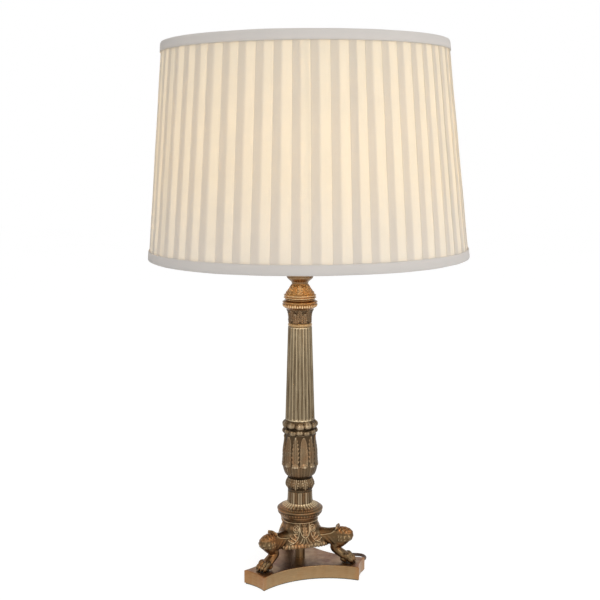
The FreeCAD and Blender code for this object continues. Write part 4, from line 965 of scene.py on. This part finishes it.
def leg_relief(points):
    """Height of the mane round the knee, the cuff behind it and the shin's sinews; then the warm patches."""
    x, y, z = points.T
    knee = step(51.0, 55.0, x)
    round_knee = np.arctan2(y, x - 54.0)
    rows = 0
    for middle, turn in ((49.6, 0.0), (53.6, 1.6)):
        tufts = np.cos(round_knee * 17 + turn + 0.5 * np.sin(z * 0.42))
        tip = middle - 2.2 + tufts
        row = step(tip - 0.7, tip + 0.5, z) * step(middle + 3.4, middle, z)
        rows = np.maximum(rows, row * (0.6 + 0.4 * tufts))
    strands = wave(round_knee * 47 + 1.3 * np.sin(z * 0.6))
    mane = knee * rows * (0.75 + 0.35 * strands)
    curls = np.cos(x * 1.25 + 1.4 * np.sin(y * 0.75)) * np.cos(y * 1.1)
    crown = knee * step(56.5, 59.5, z) * (0.30 + 0.35 * curls)
    cuff = 1.15 * ridge(x, z, smooth_line(CUFF, 40), 0.95) * step(1.5, 3.0, np.abs(y))
    calf = step(48.0, 44.0, z) * step(34.0, 37.0, z)
    under = 0.10 * step(46.0, 50.0, x) * calf
    shin = 0.34 * step(38.0, 34.0, z) * step(24.0, 28.0, z) * wave(y * 1.5)
    flank = step(51.0, 47.0, x) * step(55.0, 52.0, z) * step(38.0, 42.0, z)
    chasing = 0.45 * flank * wave(x * 0.95 + z * 0.8)
    patches = 0.55 + 0.45 * np.sin(0.9 * x + 1.3 * y) * np.cos(0.8 * z - 0.7 * y)
    warmth = step(50.0, 54.0, x) * np.maximum(0.85 * patches * step(57.0, 60.0, z), 0.50 * calf)
    return mane + crown + cuff + under + shin + chasing, warmth


def make_legs():
    skin = merged(leg_shape(), 0.52, 3)
    points, normals, corners = mesh_arrays(skin)
    height, warmth = leg_relief(points)
    points = points + normals * (height - 0.35)[:, None]
    points[:, 2] = np.maximum(points[:, 2], PLINTH_TOP + 0.02)
    # Painted highlight: the toes of the paws get extra relief numbers, so they are coloured brighter.
    painted_toe_highlight = step(30.0, 25.0, points[:, 2]) * step(58.0, 63.0, points[:, 0])
    shown = 0.30 + 0.70 * height / height.max() + 0.28 * painted_toe_highlight
    for name, angle in zip(("right", "back", "left"), LEG_ANGLES):
        cosine, sine = math.cos(angle), math.sin(angle)
        turn = np.array([[cosine, sine, 0], [-sine, cosine, 0], [0, 0, 1]])
        leg = mesh_object("lion_leg_" + name, points @ turn, corners, shown)
        keep_values(leg.data, "warmth", warmth)
        dress(leg, LEG, "antique_brass", "paw_leg_" + name)


dress(make_skirt(), FOOT, "antique_brass", "tripod_skirt")
make_legs()


# ---- shade ----
PLEATS = 55
LAYER = 0.42
UNDER = 0.44
EDGE_SHARE = 0.004
FOLD_AZIMUTH = math.radians(-89)
THICK_PLEATS = (2, 44)


def shade_place(share, proud, angle, lift=0.0):
    """Points of the shade at a share of its height and proud of its cone, which is off centre and leans.

    Lift, a share of the height too, moves a point up without a change of its radius."""
    radius = BOTTOM_RADIUS + (TOP_RADIUS - BOTTOM_RADIUS) * share + proud
    share = share + lift
    shift = BOTTOM_SHIFT + (TOP_SHIFT - BOTTOM_SHIFT) * share
    x = shift + radius * np.cos(angle) * math.cos(SHADE_TILT)
    y = radius * np.sin(angle)
    z = SHADE_BOTTOM + SHADE_HEIGHT * share + radius * np.cos(angle) * math.sin(SHADE_TILT)
    return np.stack(np.broadcast_arrays(x, y, z), axis=-1)


def make_cover():
    """One long strip of cloth folded into knife pleats; each fold hides two layers under the next face."""
    random = np.random.default_rng(11)
    pitch = TURN / PLEATS
    rows = 40
    share = np.linspace(EDGE_SHARE, 1 - EDGE_SHARE, rows)[:, None]
    lean = math.radians(1.45) * (share - 0.5)
    uneven = random.normal(0, 0.030, PLEATS) * pitch
    drift = random.normal(0, 0.018, PLEATS) * pitch
    top, middle, low = -0.35, -0.35 - LAYER * 1.25, -0.35 - LAYER * 2.5
    angles, insets, layers = [], [], []
    for number in range(PLEATS):
        fold = number * pitch + uneven[number]
        following = (number + 1) * pitch + uneven[(number + 1) % PLEATS]
        width = following - fold
        extra = 0.5 if number in THICK_PLEATS else 0.0
        # the fold's edge, the face down to the next fold, then the hidden return
        shape = [(0.004, -0.10, 1.0), (0.012, 0.0, 1.0), (0.05, 0.05, 1.0), (UNDER - 0.08, 0.0, 1.0),
                 (UNDER, -0.14, 0.85), (UNDER + 0.09, -0.42, 0.0), (0.74, -0.62, 0.0), (0.90, -0.84, 0.0),
                 (0.99, -1.05, 0.0), (1.02, -1.25, 0.2)]
        for across, inset, layer in shape:
            angles.append(fold + across * width)
            insets.append(top + inset)
            layers.append(min(1.0, layer * (0.80 + extra)))
        under = UNDER * width
        angles += [following + under, following + under * 1.02, following + under, following + 0.02 * width]
        insets += [low - 0.1, (middle + low) / 2, middle, middle + 0.18]
        layers += [1.0] * 4
    angles, insets = np.array(angles), np.array(insets)
    slide = np.interp(angles, (np.arange(PLEATS) + 0.5) * pitch, drift)
    angle = FOLD_AZIMUTH + angles + lean + slide * (share - 0.5) * 2
    ripple = 0.1 * np.sin(3.1 * share * TURN + np.arange(len(angles)) * 0.05)
    points = shade_place(share, insets + ripple, angle)
    thickness = np.broadcast_to(layers, points.shape[:2])
    return grid_object("pleated_cover", points, False, thickness)


def make_lining():
    """Smooth cloth stretched inside the ribs."""
    rows, around = 24, 240
    share = np.linspace(EDGE_SHARE, 1 - EDGE_SHARE, rows)[:, None]
    angle = np.arange(around) * TURN / around
    sag = 0.25 * np.cos(6 * (angle - math.pi / 2)) * np.sin(math.pi * share)
    points = shade_place(share, sag - 2.35, angle)
    return grid_object("lining_cloth", points, False)


def make_trim(name, edge, away, seed):
    """Bias tape folded over the shade's edge; away is 1 where the tape goes up from there, or -1."""
    random = np.random.default_rng(seed)
    around = 480
    angle = np.arange(around) * TURN / around
    span = TRIM_WIDTH
    section = [(span, 0.35), (span - 0.25, 0.78), (span * 0.72, 0.95), (span * 0.35, 1.0), (1.6, 0.85),
               (0.5, 0.3), (0.0, -0.8), (-0.1, -2.0), (0.2, -3.3), (1.2, -4.2), (span * 0.5, -4.5),
               (span * 0.86, -4.45), (span * 0.86, -4.05), (span * 0.5, -4.05), (1.7, -3.7), (1.0, -2.6),
               (1.3, -0.7), (span * 0.4, -0.02), (span * 0.8, -0.02)]
    puff = sum(random.normal(0, 1.0 / k) * np.cos(k * angle + random.uniform(0, TURN)) for k in range(5, 34))
    puff /= np.abs(puff).max()
    rows = []
    for up, out in section:
        share = edge + away * up / SHADE_HEIGHT
        near_edge = math.exp(-(up / 4.0) ** 2)
        rows.append(shade_place(share, out + 0.22 * puff, angle, away * near_edge * 0.0012 * puff))
    return grid_object(name, np.array(rows), True)


cover = dress(make_cover(), COVER, "pleated_fabric", "shade_cover", body="shade")
lining = dress(make_lining(), LINING, "lining_fabric", "shade_lining", body="shade")
bottom_trim = dress(make_trim("bottom_tape", 0.0, 1, 3), TRIM, "trim_tape", "bottom_trim", body="shade")
top_trim = dress(make_trim("top_tape", 1.0, -1, 4), TRIM, "trim_tape", "top_trim", body="shade")
